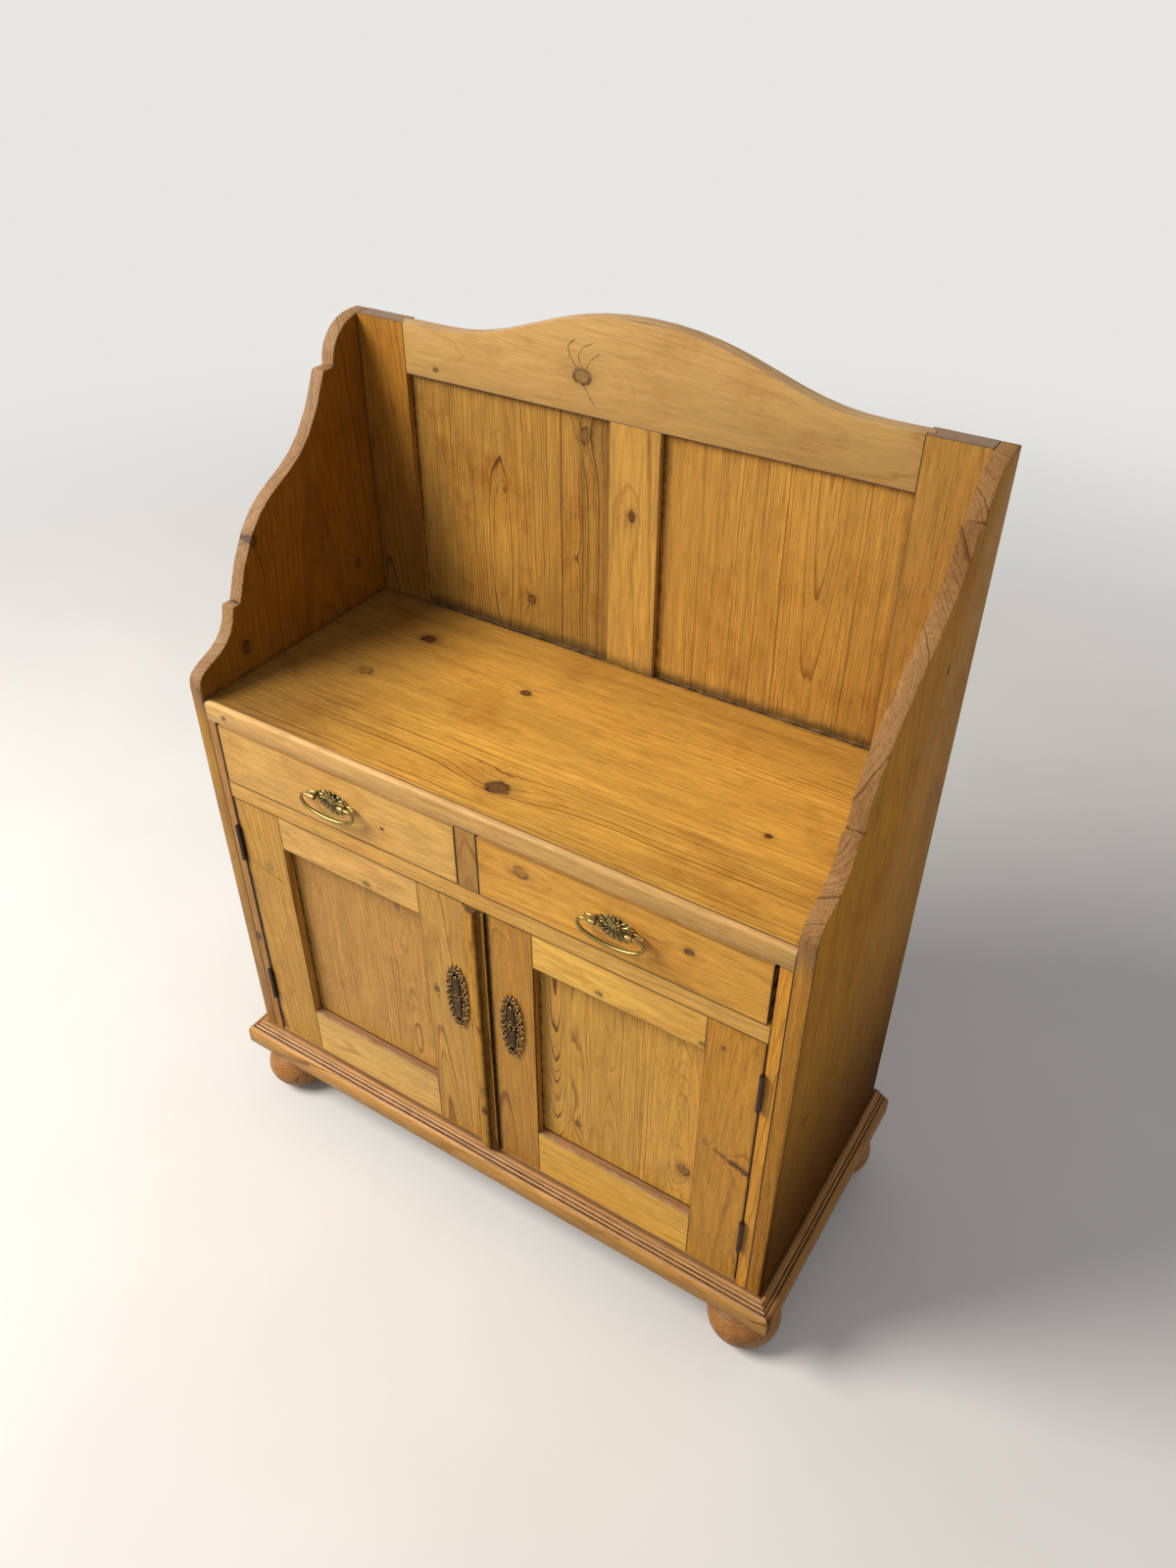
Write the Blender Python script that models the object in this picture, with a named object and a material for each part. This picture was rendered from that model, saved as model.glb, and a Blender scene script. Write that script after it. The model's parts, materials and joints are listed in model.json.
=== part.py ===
# Gallery-back pine cupboard: two drawers over two framed doors, on a moulded plinth and bun feet.
# Metres, +Z up. The origin is on the floor, under the centre of the whole piece; the front faces -Y.

import bmesh
import bpy
from math import cos, pi, sin, sqrt, tau
from mathutils import Vector

# Fits
FIT = 0.0003                    # air between two pieces that touch
OVERRUN = 0.002                 # how far a cut runs past the face it opens
MERGE = 0.000001                # corners closer than this are one

# Carcass
CARCASS_WIDTH = 1.000
CARCASS_DEPTH = 0.4445
SIDE_THICKNESS = 0.0234
THRESHOLD_HEIGHT = 0.0075       # front edge of the bottom board, seen under the doors
DOOR_OPENING_HEIGHT = 0.5345
RAIL_HEIGHT = 0.0303            # rail between doors and drawers
DRAWER_OPENING_HEIGHT = 0.1072
WORKTOP_THICKNESS = 0.0312
GALLERY_HEIGHT = 0.4545         # worktop up to the top of the sides
FRONT_STILE_WIDTH = 0.0181      # strip beside each plank, below the worktop
DIVIDER_WIDTH = 0.035
DIVIDER_OFFSET = 0.0008         # the divider stands a little right of the middle
BOTTOM_BOARD_THICKNESS = 0.020
SHELF_HEIGHT = 0.275            # plinth top up to the shelf's top
SHELF_THICKNESS = 0.018
SHELF_SETBACK = 0.050
SHELF_ENTRY = 0.006                     # how far it goes into each side
NOSING_DEPTH = 0.009
NOSING_RADIUS = 0.0065

# Scrolled outline of the sides, in shares of the carcass depth and of the gallery height
SHOULDER_SHARES = (0.0, 0.040)          # where the straight front edge ends
LOWER_LEDGE_SHARES = (0.197, 0.230, 0.253)      # front, back, height
UPPER_LEDGE_SHARES = (0.751, 0.799, 0.861)      # front, back, height
TOP_ROUND_SHARE = 0.960                 # where the round top meets the flat
LOWER_SCROLL_SHARES = ((0.169, 0.075), (-0.004, 0.141))
LEFT_UPPER_SCROLL_SHARES = ((0.571, 0.444), (0.396, 0.718))
RIGHT_UPPER_SCROLL_SHARES = ((0.729, 0.641), (0.230, 0.521))
SCROLL_STEPS = 10
ROUND_STEPS = 7

# Back frame
BACK_STILE_THICKNESS = 0.0286
BACK_RAIL_THICKNESS = 0.0226
BACK_STILE_LEFT_WIDTH = 0.0867
BACK_STILE_RIGHT_WIDTH = 0.0807
MUNTIN_WIDTH = 0.081
MUNTIN_OFFSET = 0.004
CREST_END_HEIGHT = 0.0737               # crest rail at its ends
CREST_RISE = 0.0645                     # arch above the ends
CREST_OFFSET = 0.012
CREST_HALF_LENGTH = 0.333
CREST_TOP_SHARE = 0.465                 # how far the arch stays near its top
CREST_FOOT_SHARE = 0.390                # how far it runs out along its ends
CREST_STEPS = 12
MIDDLE_BACK_RAIL_HEIGHT = 0.075
MIDDLE_BACK_RAIL_DROP = 0.002           # its top is just under the worktop's
BACK_PANEL_THICKNESS = 0.010
BACK_PANEL_RECESS = 0.009

# Grooves that hold every panel
GROOVE_DEPTH = 0.009
PANEL_ENTRY = 0.008                     # how far a panel or a stub tenon goes in

# Doors
DOOR_THICKNESS = 0.024
DOOR_PANEL_THICKNESS = 0.008
DOOR_PANEL_RECESS = 0.0135
DOOR_CLEARANCE = 0.0012                 # above and below a door
DOOR_SIDE_GAP = 0.0015
MEETING_OFFSET = -0.0115                # the doors meet left of the middle
MEETING_GAP = 0.002
LEFT_HINGE_STILE_WIDTH = 0.093
LEFT_MEETING_STILE_WIDTH = 0.0825
RIGHT_HINGE_STILE_WIDTH = 0.083
RIGHT_MEETING_STILE_WIDTH = 0.115
DOOR_TOP_RAIL_HEIGHT = 0.0635
DOOR_BOTTOM_RAIL_HEIGHT = 0.0975
STRIP_WIDTH = 0.036
STRIP_THICKNESS = 0.0115
STRIP_FILLET_WIDTH = 0.005
STRIP_FILLET_THICKNESS = 0.004
STRIP_STEPS = 10

# Butt hinges
HINGE_LENGTH = 0.070
HINGE_LOW_INSET = 0.0833                # bottom of the door up to the lower hinge
HINGE_HIGH_INSET = 0.0558               # top of the door down to the upper hinge
KNUCKLE_RADIUS = 0.0036
KNUCKLE_SIDES = 16
LEAF_THICKNESS = 0.0014
LEAF_DEPTH = 0.018
PIN_RADIUS = 0.0013
PIN_CLEARANCE = 0.0003
PIN_HEAD = 0.0012
PIN_HEAD_RADIUS = 0.0022

# Escutcheons and lock
ESCUTCHEON_HEIGHT = 0.134
ESCUTCHEON_WIDTH = 0.043
ESCUTCHEON_THICKNESS = 0.0016
ESCUTCHEON_RIDGE_THICKNESS = 0.0022
ESCUTCHEON_RIDGE_WIDTH = 0.012
ESCUTCHEON_RIDGE_HEIGHT = 0.088
ESCUTCHEON_LOBES = 22
ESCUTCHEON_SCALLOP_SHARE = 0.16
ESCUTCHEON_TAPER_SHARE = 0.45
LOBE_STEPS = 4                          # corners of one scallop, here and on the pulls
LEFT_ESCUTCHEON_INSET = 0.0225          # door edge to its middle
LEFT_ESCUTCHEON_LEVEL = 0.3395
RIGHT_ESCUTCHEON_INSET = 0.075
RIGHT_ESCUTCHEON_LEVEL = 0.3335
KEYHOLE_RADIUS = 0.0028
KEYHOLE_SLOT_WIDTH = 0.0028
KEYHOLE_SLOT_HEIGHT = 0.0085
LOCK_WIDTH = 0.090
LOCK_HEIGHT = 0.070
LOCK_THICKNESS = 0.012
LOCK_BACK_WALL = 0.003
LOCK_BOLT_HEIGHT = 0.020
LOCK_BOLT_THICKNESS = 0.005
LOCK_BOLT_LENGTH = 0.078
LOCK_BOLT_TRAVEL = 0.009
LOCK_BOLT_DROP = 0.019                  # the bolt's middle under the keyhole

# Turn button inside the left door, which laps the rail when it is turned up
BUTTON_LENGTH = 0.046
BUTTON_WIDTH = 0.011
BUTTON_THICKNESS = 0.004
BUTTON_LIFT = 0.0015                    # off the door's back
BUTTON_DROP = 0.0125                    # its pin under the top of the door
BUTTON_PIN_RADIUS = 0.0022
BUTTON_PIN_LENGTH = 0.012
BUTTON_END_STEPS = 6

# Drawers
DRAWER_FRONT_THICKNESS = 0.020
DRAWER_BACK_GAP = 0.001                 # a closed drawer stops at the back
DRAWER_GAP = 0.0015
DRAWER_LOW_GAP = 0.0012
DRAWER_TOP_GAP = 0.0040
RIGHT_DRAWER_END_GAP = 0.0060           # the right drawer is short at its right end
DRAWER_SIDE_THICKNESS = 0.012
DRAWER_SIDE_DROP = 0.008                # the sides stop below the front's top
DRAWER_BOTTOM_THICKNESS = 0.008
DRAWER_BOTTOM_LIFT = 0.0075
DRAWER_BOTTOM_ENTRY = 0.005
DRAWER_BACK_THICKNESS = 0.012
DRAWER_BACK_INSET = 0.010
DOVETAIL_LAP = 0.007                    # wood left in front of the tails
DOVETAILS = 3
TAIL_NECK_SHARE = 0.42
TAIL_TIP_SHARE = 0.66
RUNNER_WIDTH = 0.0466
RUNNER_LEDGE = 0.016
GUIDE_STRIP_HEIGHT = 0.020
RUNNER_TIE_DEPTH = 0.045                # rail that ties the runners at the back

# Drawer pulls
PULL_HALF_SPACING = 0.027               # middle to each post
PULL_LIFT = 0.0065                      # posts above the plate's middle
PULL_STANDOFF = 0.013                   # bail's axis in front of the drawer
ROSETTE_HALF_WIDTH = 0.029
ROSETTE_HALF_HEIGHT = 0.0215
ROSETTE_LOBES = 14
ROSETTE_SCALLOP_SHARE = 0.13
ROSETTE_THICKNESS = 0.0022
ROSETTE_BOSS_RADIUS = 0.0055
ROSETTE_BOSS_THICKNESS = 0.0026
ARM_HALF_WIDTH = 0.048
ARM_HEIGHT = 0.0085
ARM_THICKNESS = 0.0018
ARM_STEPS = 8
POST_RADIUS = 0.0028
BARREL_RADIUS = 0.0042
BARREL_LENGTH = 0.0090
BARREL_SIDES = 16
BAIL_BORE_DEPTH = 0.0055
BAIL_END_RADIUS = 0.0014
BAIL_MIDDLE_RADIUS = 0.0023
BAIL_HALF_WIDTH = 0.0490
BAIL_DROP = 0.0255
BAIL_STANDOFF = 0.0035                  # its bow hangs this far out from its ends
BAIL_CLEARANCE = 0.0004
BAIL_STEPS = 9
BAIL_BEND_SHARES = ((0.78, 0.0), (0.94, 0.0), (1.0, 0.16), (1.0, 0.38))
BAIL_BOW_SHARES = ((1.0, 0.38), (0.98, 0.74), (0.52, 1.0), (0.0, 1.0))

# Plinth
PLINTH_HEIGHT = 0.045
PLINTH_PROJECTION = 0.027
PLINTH_SEAT = 0.055                     # how far the frame runs under the carcass
PLINTH_BACK_LAP = 0.011                 # plinth sides run past the back
PLINTH_TOP_SHARE = 0.30                 # flat top, as a share of the projection
PLINTH_BAND_SHARES = ((0.33, 0.065), (0.47, 0.105), (0.50, 0.145), (0.54, 0.125),
                      (0.66, 0.180), (0.69, 0.220), (0.73, 0.200))
PLINTH_NOSE_SHARES = (0.74, 0.400)
PLINTH_NOSE_STEPS = 5

# Feet
FOOT_HEIGHT = 0.110
FOOT_RADIUS = 0.058
FOOT_BELLY_HEIGHT = 0.042
FOOT_ROUND_HEIGHT = 0.046               # half height of the whole round that is cut flat
FOOT_SHOULDER_HEIGHT = 0.081
FOOT_NECK_RADIUS = 0.027
FOOT_NECK_HEIGHT = 0.089
FOOT_COLLAR_RADIUS = 0.036
FOOT_COLLAR_HEIGHT = 0.095
FOOT_TENON_RADIUS = 0.0125
FOOT_TENON_LENGTH = 0.026
FOOT_STEPS = 9
FOOT_SIDES = 24

# Levels, from the floor up
base_z = FOOT_HEIGHT + PLINTH_HEIGHT
threshold_z = base_z + THRESHOLD_HEIGHT
rail_low_z = threshold_z + DOOR_OPENING_HEIGHT
rail_high_z = rail_low_z + RAIL_HEIGHT
top_low_z = rail_high_z + DRAWER_OPENING_HEIGHT
top_z = top_low_z + WORKTOP_THICKNESS
side_top_z = top_z + GALLERY_HEIGHT
crest_low_z = side_top_z - CREST_END_HEIGHT
middle_back_high_z = top_z - MIDDLE_BACK_RAIL_DROP
middle_back_low_z = middle_back_high_z - MIDDLE_BACK_RAIL_HEIGHT
door_low_z = threshold_z + DOOR_CLEARANCE
door_high_z = rail_low_z - DOOR_CLEARANCE

# Lines across the width
outer_x = CARCASS_WIDTH / 2
inner_x = outer_x - SIDE_THICKNESS
opening_x = inner_x - FRONT_STILE_WIDTH
divider_low_x = DIVIDER_OFFSET - DIVIDER_WIDTH / 2
divider_high_x = DIVIDER_OFFSET + DIVIDER_WIDTH / 2
muntin_low_x = MUNTIN_OFFSET - MUNTIN_WIDTH / 2
muntin_high_x = MUNTIN_OFFSET + MUNTIN_WIDTH / 2
back_left_x = -inner_x + BACK_STILE_LEFT_WIDTH
back_right_x = inner_x - BACK_STILE_RIGHT_WIDTH
door_left_edge_x = -opening_x + DOOR_SIDE_GAP
door_right_edge_x = opening_x - DOOR_SIDE_GAP
meeting_left_x = MEETING_OFFSET - MEETING_GAP / 2
meeting_right_x = MEETING_OFFSET + MEETING_GAP / 2

# Lines through the depth
whole_depth = PLINTH_PROJECTION + CARCASS_DEPTH + PLINTH_BACK_LAP
front_y = PLINTH_PROJECTION - whole_depth / 2
back_y = front_y + CARCASS_DEPTH
frame_y = back_y - BACK_STILE_THICKNESS
door_back_y = front_y + DOOR_THICKNESS
door_groove = (front_y + DOOR_PANEL_RECESS, front_y + DOOR_PANEL_RECESS + DOOR_PANEL_THICKNESS)
back_groove = (frame_y + BACK_PANEL_RECESS, frame_y + BACK_PANEL_RECESS + BACK_PANEL_THICKNESS)

materials = {}
cutter_count = 0


def make_material(name, colour, roughness, metallic):
    finish = bpy.data.materials.new(name)
    finish.use_nodes = True
    shader = finish.node_tree.nodes["Principled BSDF"]
    shader.inputs["Base Color"].default_value = (*colour, 1.0)
    shader.inputs["Roughness"].default_value = roughness
    shader.inputs["Metallic"].default_value = metallic
    finish.diffuse_color = (*colour, 1.0)
    materials[name] = finish


def world_place(holder):
    place = Vector((0.0, 0.0, 0.0))
    while holder:
        place += holder.location
        holder = holder.parent
    return place


def add_object(name, data, place, finish, holder):
    piece = bpy.data.objects.new(name, data)
    bpy.context.scene.collection.objects.link(piece)
    piece.parent = holder
    piece.location = Vector(place) - world_place(holder)
    if finish:
        piece.data.materials.append(materials[finish])
    return piece


def add_axis(name, place, holder=None):
    axis = add_object(name, None, place, None, holder)
    axis.empty_display_size = PLINTH_HEIGHT
    return axis


def finish_mesh(name, bm, place, finish, holder, smooth=False):
    bmesh.ops.remove_doubles(bm, verts=bm.verts, dist=MERGE)
    bmesh.ops.recalc_face_normals(bm, faces=bm.faces)
    bmesh.ops.translate(bm, verts=bm.verts, vec=-Vector(place))
    mesh = bpy.data.meshes.new(name)
    bm.to_mesh(mesh)
    bm.free()
    if smooth:
        mesh.shade_smooth()
        mesh.set_sharp_from_angle(angle=pi / 5)
    return add_object(name, mesh, place, finish, holder)


def extrude_outline(bm, outline, axis, low, high):
    # The outline lies across the axis; its two numbers are the other axes, in X, Y, Z order.
    def spot(pair, along):
        values = list(pair)
        values.insert("xyz".index(axis), along)
        return values

    face = bm.faces.new([bm.verts.new(spot(pair, low)) for pair in outline])
    grown = bmesh.ops.extrude_face_region(bm, geom=[face])
    corners = [part for part in grown["geom"] if isinstance(part, bmesh.types.BMVert)]
    bmesh.ops.translate(bm, verts=corners, vec=spot((0.0, 0.0), high - low))


def add_prism(name, outline, axis, low, high, finish, holder=None, smooth=False):
    bm = bmesh.new()
    extrude_outline(bm, outline, axis, low, high)
    middle = [(min(side) + max(side)) / 2 for side in zip(*[v.co for v in bm.verts])]
    return finish_mesh(name, bm, middle, finish, holder, smooth)


def box_outline(a_span, b_span):
    return [(a_span[0], b_span[0]), (a_span[1], b_span[0]), (a_span[1], b_span[1]), (a_span[0], b_span[1])]


def add_board(name, x_span, y_span, z_span, finish, holder=None):
    return add_prism(name, box_outline(x_span, y_span), "z", *z_span, finish, holder)


def add_tool(bm):
    global cutter_count
    cutter_count += 1
    tool = finish_mesh(f"cutter_{cutter_count}", bm, (0.0, 0.0, 0.0), None, None)
    tool.hide_render = True
    tool.display_type = "WIRE"
    return tool


def combine(piece, tool, operation):
    change = piece.modifiers.new(operation.lower(), "BOOLEAN")
    change.operation = operation
    change.solver = "EXACT"
    change.object = tool


def work_prism(piece, operation, outline, axis, low, high):
    bm = bmesh.new()
    extrude_outline(bm, outline, axis, low, high)
    combine(piece, add_tool(bm), operation)


def cut_prism(piece, outline, axis, low, high):
    work_prism(piece, "DIFFERENCE", outline, axis, low, high)


def join_prism(piece, outline, axis, low, high):
    work_prism(piece, "UNION", outline, axis, low, high)


def cut_boxes(piece, boxes):
    for x_span, y_span, z_span in boxes:
        cut_prism(piece, box_outline(x_span, y_span), "z", *z_span)


def ring_outline(middle, radius, sides):
    return [(middle[0] + radius * cos(tau * step / sides), middle[1] + radius * sin(tau * step / sides))
            for step in range(sides)]


def cut_rods(piece, axis, rods, sides):
    # Each rod is its middle, its radius and its span along the axis.
    for middle, radius, low, high in rods:
        cut_prism(piece, ring_outline(middle, radius, sides), axis, low, high)


def join_rods(piece, axis, rods, sides):
    for middle, radius, low, high in rods:
        join_prism(piece, ring_outline(middle, radius, sides), axis, low, high)


def bezier(points, steps):
    # Points along one cubic curve, without the first.
    curve = []
    for step in range(1, steps + 1):
        t = step / steps
        weights = ((1 - t) ** 3, 3 * t * (1 - t) ** 2, 3 * t * t * (1 - t), t ** 3)
        curve.append(tuple(sum(w * p[i] for w, p in zip(weights, points)) for i in range(2)))
    return curve


def side_outline(scroll_shares):
    def spot(depth_share, height_share):
        return front_y + CARCASS_DEPTH * depth_share, top_z + GALLERY_HEIGHT * height_share

    lower_front, lower_back, lower_height = LOWER_LEDGE_SHARES
    upper_front, upper_back, upper_height = UPPER_LEDGE_SHARES
    lower = [spot(*SHOULDER_SHARES), spot(*LOWER_SCROLL_SHARES[1]), spot(*LOWER_SCROLL_SHARES[0]),
             spot(lower_front, lower_height)]
    upper = [spot(lower_back, lower_height), spot(*scroll_shares[1]), spot(*scroll_shares[0]),
             spot(upper_front, upper_height)]
    outline = [(back_y, base_z + FIT), (front_y, base_z + FIT), lower[0]]
    outline += bezier(lower, SCROLL_STEPS)
    outline += [upper[0]] + bezier(upper, SCROLL_STEPS)
    start_y, start_z = spot(upper_back, upper_height)
    flat_y = spot(TOP_ROUND_SHARE, 1)[0]
    for step in range(ROUND_STEPS + 1):
        turn = pi / 2 * step / ROUND_STEPS
        outline.append((flat_y - (flat_y - start_y) * cos(turn),
                        start_z + (side_top_z - start_z) * sin(turn)))
    outline.append((back_y, side_top_z))
    return outline


def build_sides():
    for side, sign, scroll_shares in (("left", -1, LEFT_UPPER_SCROLL_SHARES),
                                      ("right", 1, RIGHT_UPPER_SCROLL_SHARES)):
        plank_x = sorted((sign * outer_x, sign * inner_x))
        plank = add_prism(f"side_panel_{side}", side_outline(scroll_shares), "x", *plank_x, "pine_side")
        x_span = sorted((sign * opening_x, sign * (inner_x - FIT)))
        stile = add_board(f"front_stile_{side}", x_span, (front_y, door_back_y),
                          (base_z + FIT, top_low_z - FIT), "pine_frame")
        leaf_x = sorted((sign * (opening_x - OVERRUN), sign * (opening_x + LEAF_THICKNESS + FIT)))
        cut_boxes(stile, [(leaf_x, (front_y - OVERRUN, front_y + LEAF_DEPTH + FIT),
                           (foot_z - FIT, foot_z + HINGE_LENGTH + FIT))
                          for level, foot_z in hinge_levels()])
        groove_x = sorted((sign * (inner_x - OVERRUN), sign * (inner_x + SHELF_ENTRY + FIT)))
        shelf_y, shelf_z = shelf_spans()
        cut_boxes(plank, [(groove_x, (shelf_y[0] - FIT, frame_y), (shelf_z[0] - FIT, shelf_z[1] + FIT))])


def shelf_spans():
    high = base_z + SHELF_HEIGHT
    return (front_y + SHELF_SETBACK, frame_y - FIT), (high - SHELF_THICKNESS, high)


def build_worktop():
    add_board("worktop", (-inner_x + FIT, inner_x - FIT), (front_y + NOSING_DEPTH + FIT, frame_y - FIT),
              (top_low_z, top_z), "pine_top")
    outline = [(front_y + NOSING_DEPTH, top_z), (front_y + NOSING_DEPTH, top_low_z), (front_y, top_low_z)]
    for step in range(ROUND_STEPS):
        turn = pi / 2 * step / (ROUND_STEPS - 1)
        outline.append((front_y + NOSING_RADIUS * (1 - cos(turn)), top_z - NOSING_RADIUS * (1 - sin(turn))))
    add_prism("worktop_nosing", outline, "x", -inner_x + FIT, inner_x - FIT, "pine_worn", smooth=True)


def build_inner_frame():
    add_board("middle_rail", (-opening_x + FIT, opening_x - FIT), (front_y, door_back_y),
              (rail_low_z, rail_high_z), "pine_frame")
    add_board("drawer_divider", (divider_low_x, divider_high_x), (front_y, door_back_y),
              (rail_high_z + FIT, top_low_z - FIT), "pine_frame")
    board = add_board("bottom_board", (-inner_x + FIT, inner_x - FIT), (front_y, frame_y - FIT),
                      (base_z + FIT, base_z + BOTTOM_BOARD_THICKNESS), "pine_inside")
    rebate_y = (front_y - OVERRUN, door_back_y + 2 * FIT)
    board_z = base_z + BOTTOM_BOARD_THICKNESS + OVERRUN
    cut_boxes(board, [((-outer_x, outer_x), rebate_y, (threshold_z, board_z)),
                      ((-outer_x, -opening_x + FIT), rebate_y, (base_z - OVERRUN, board_z)),
                      ((opening_x - FIT, outer_x), rebate_y, (base_z - OVERRUN, board_z))])
    shelf_x = inner_x + SHELF_ENTRY
    add_board("shelf", (-shelf_x, shelf_x), *shelf_spans(), "pine_inside")


def build_runners():
    # Three runners that carry and guide the drawers, tied by a rail at the back.
    y_span = (door_back_y + FIT, frame_y - FIT)
    guide_z = rail_high_z + GUIDE_STRIP_HEIGHT
    wall, ledge = inner_x - FIT, inner_x - RUNNER_WIDTH
    low, high = divider_low_x - RUNNER_LEDGE, divider_high_x + RUNNER_LEDGE
    middle = [(low, rail_low_z), (high, rail_low_z), (high, rail_high_z), (divider_high_x, rail_high_z),
              (divider_high_x, guide_z), (divider_low_x, guide_z), (divider_low_x, rail_high_z),
              (low, rail_high_z)]
    frame = add_prism("drawer_runner_frame", middle, "y", *y_span, "pine_inside")
    tie = box_outline((-wall, wall), (y_span[1] - RUNNER_TIE_DEPTH, y_span[1]))
    join_prism(frame, tie, "z", rail_low_z, rail_high_z)
    for sign in (-1, 1):
        side = [(wall, rail_low_z), (ledge, rail_low_z), (ledge, rail_high_z), (opening_x, rail_high_z),
                (opening_x, guide_z), (wall, guide_z)]
        join_prism(frame, [(sign * x, z) for x, z in side], "y", *y_span)


def upright_outline(x_span, y_span, groove, left, right):
    # Plan of an upright member with a groove in its left edge, its right edge or both.
    low, high = x_span
    front, back = y_span
    outline = [(low, front), (high, front)]
    if right:
        outline += [(high, groove[0]), (high - GROOVE_DEPTH, groove[0]), (high - GROOVE_DEPTH, groove[1]),
                    (high, groove[1])]
    outline += [(high, back), (low, back)]
    if left:
        outline += [(low, groove[1]), (low + GROOVE_DEPTH, groove[1]), (low + GROOVE_DEPTH, groove[0]),
                    (low, groove[0])]
    return outline


def cut_stubs(piece, y_span, groove, regions):
    # Leaves a stub as thick as the groove wherever a region covers the piece's end.
    for x_span, z_span in regions:
        cut_boxes(piece, [(x_span, (y_span[0] - OVERRUN, groove[0] + FIT), z_span),
                          (x_span, (groove[1] - FIT, y_span[1] + OVERRUN), z_span)])


def end_regions(x_span, z_span):
    z_cut = (z_span[0] - OVERRUN, z_span[1] + OVERRUN)
    reach = PANEL_ENTRY + OVERRUN
    return [((x_span[0] - reach, x_span[0] + FIT), z_cut), ((x_span[1] - FIT, x_span[1] + reach), z_cut)]


def cut_groove(piece, x_span, groove, edge_z, direction):
    reach = PANEL_ENTRY + OVERRUN
    z_span = sorted((edge_z - direction * OVERRUN, edge_z + direction * GROOVE_DEPTH))
    cut_boxes(piece, [((x_span[0] - reach, x_span[1] + reach), groove, z_span)])


def add_framed_rail(name, x_span, y_span, groove, z_span, groove_edges, finish, holder):
    # x_span is the clear space between the uprights.
    tenons_x = (x_span[0] - PANEL_ENTRY, x_span[1] + PANEL_ENTRY)
    rail = add_board(name, tenons_x, y_span, z_span, finish, holder)
    cut_stubs(rail, y_span, groove, end_regions(x_span, z_span))
    for edge in groove_edges:
        if edge == "top":
            cut_groove(rail, x_span, groove, z_span[1], -1)
        else:
            cut_groove(rail, x_span, groove, z_span[0], 1)
    return rail


def add_panel(name, x_span, groove, z_span, finish, holder):
    panel_x = (x_span[0] - PANEL_ENTRY, x_span[1] + PANEL_ENTRY)
    panel_z = (z_span[0] - PANEL_ENTRY, z_span[1] + PANEL_ENTRY)
    return add_board(name, panel_x, (groove[0] + FIT, groove[1] - FIT), panel_z, finish, holder)


def crest_outline(x_span, low_z):
    low_x, high_x = x_span
    outline = [(high_x, low_z), (high_x, side_top_z)]
    apex = (CREST_OFFSET, side_top_z + CREST_RISE)
    half = []
    for sign in (1, -1):
        foot_x = CREST_OFFSET + sign * CREST_HALF_LENGTH
        controls = [apex, (CREST_OFFSET + sign * CREST_HALF_LENGTH * CREST_TOP_SHARE, apex[1]),
                    (foot_x - sign * CREST_HALF_LENGTH * CREST_FOOT_SHARE, side_top_z), (foot_x, side_top_z)]
        half.append(bezier(controls, CREST_STEPS))
    return outline + half[0][::-1] + [apex] + half[1] + [(low_x, side_top_z), (low_x, low_z)]


def build_back():
    stile_y = (frame_y, back_y)
    rail_y = (frame_y, frame_y + BACK_RAIL_THICKNESS)
    stile_z = (base_z + FIT, side_top_z)
    left_span = (-inner_x + FIT, back_left_x)
    right_span = (back_right_x, inner_x - FIT)
    add_prism("back_stile_left", upright_outline(left_span, stile_y, back_groove, False, True), "z",
              *stile_z, "pine_frame")
    add_prism("back_stile_right", upright_outline(right_span, stile_y, back_groove, True, False), "z",
              *stile_z, "pine_frame")
    clear_x = (back_left_x + FIT, back_right_x - FIT)
    reach = PANEL_ENTRY
    crest = add_prism("crest_rail", crest_outline((clear_x[0] - reach, clear_x[1] + reach), crest_low_z), "y",
                      *rail_y, "pine_frame", smooth=True)
    cut_stubs(crest, rail_y, back_groove, end_regions(clear_x, (crest_low_z, side_top_z)))
    cut_groove(crest, clear_x, back_groove, crest_low_z, 1)
    add_framed_rail("back_middle_rail", clear_x, rail_y, back_groove, (middle_back_low_z, middle_back_high_z),
                    ("top", "bottom"), "pine_inside", None)
    muntin_z = (middle_back_high_z + FIT, crest_low_z - FIT)
    plan = upright_outline((muntin_low_x, muntin_high_x), rail_y, back_groove, True, True)
    muntin = add_prism("back_muntin", plan, "z", muntin_z[0] - reach, muntin_z[1] + reach, "pine_frame")
    x_cut = (muntin_low_x - OVERRUN, muntin_high_x + OVERRUN)
    cut_stubs(muntin, rail_y, back_groove, [(x_cut, (muntin_z[0] - reach - OVERRUN, muntin_z[0])),
                                            (x_cut, (muntin_z[1], muntin_z[1] + reach + OVERRUN))])
    add_panel("back_panel_left", (back_left_x, muntin_low_x), back_groove, muntin_z, "pine_panel", None)
    add_panel("back_panel_right", (muntin_high_x, back_right_x), back_groove, muntin_z, "pine_panel", None)
    add_board("lower_back_board", (back_left_x - PANEL_ENTRY, back_right_x + PANEL_ENTRY),
              (back_groove[0] + FIT, back_groove[1] - FIT), (base_z + FIT, middle_back_low_z + PANEL_ENTRY),
              "pine_inside")


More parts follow.
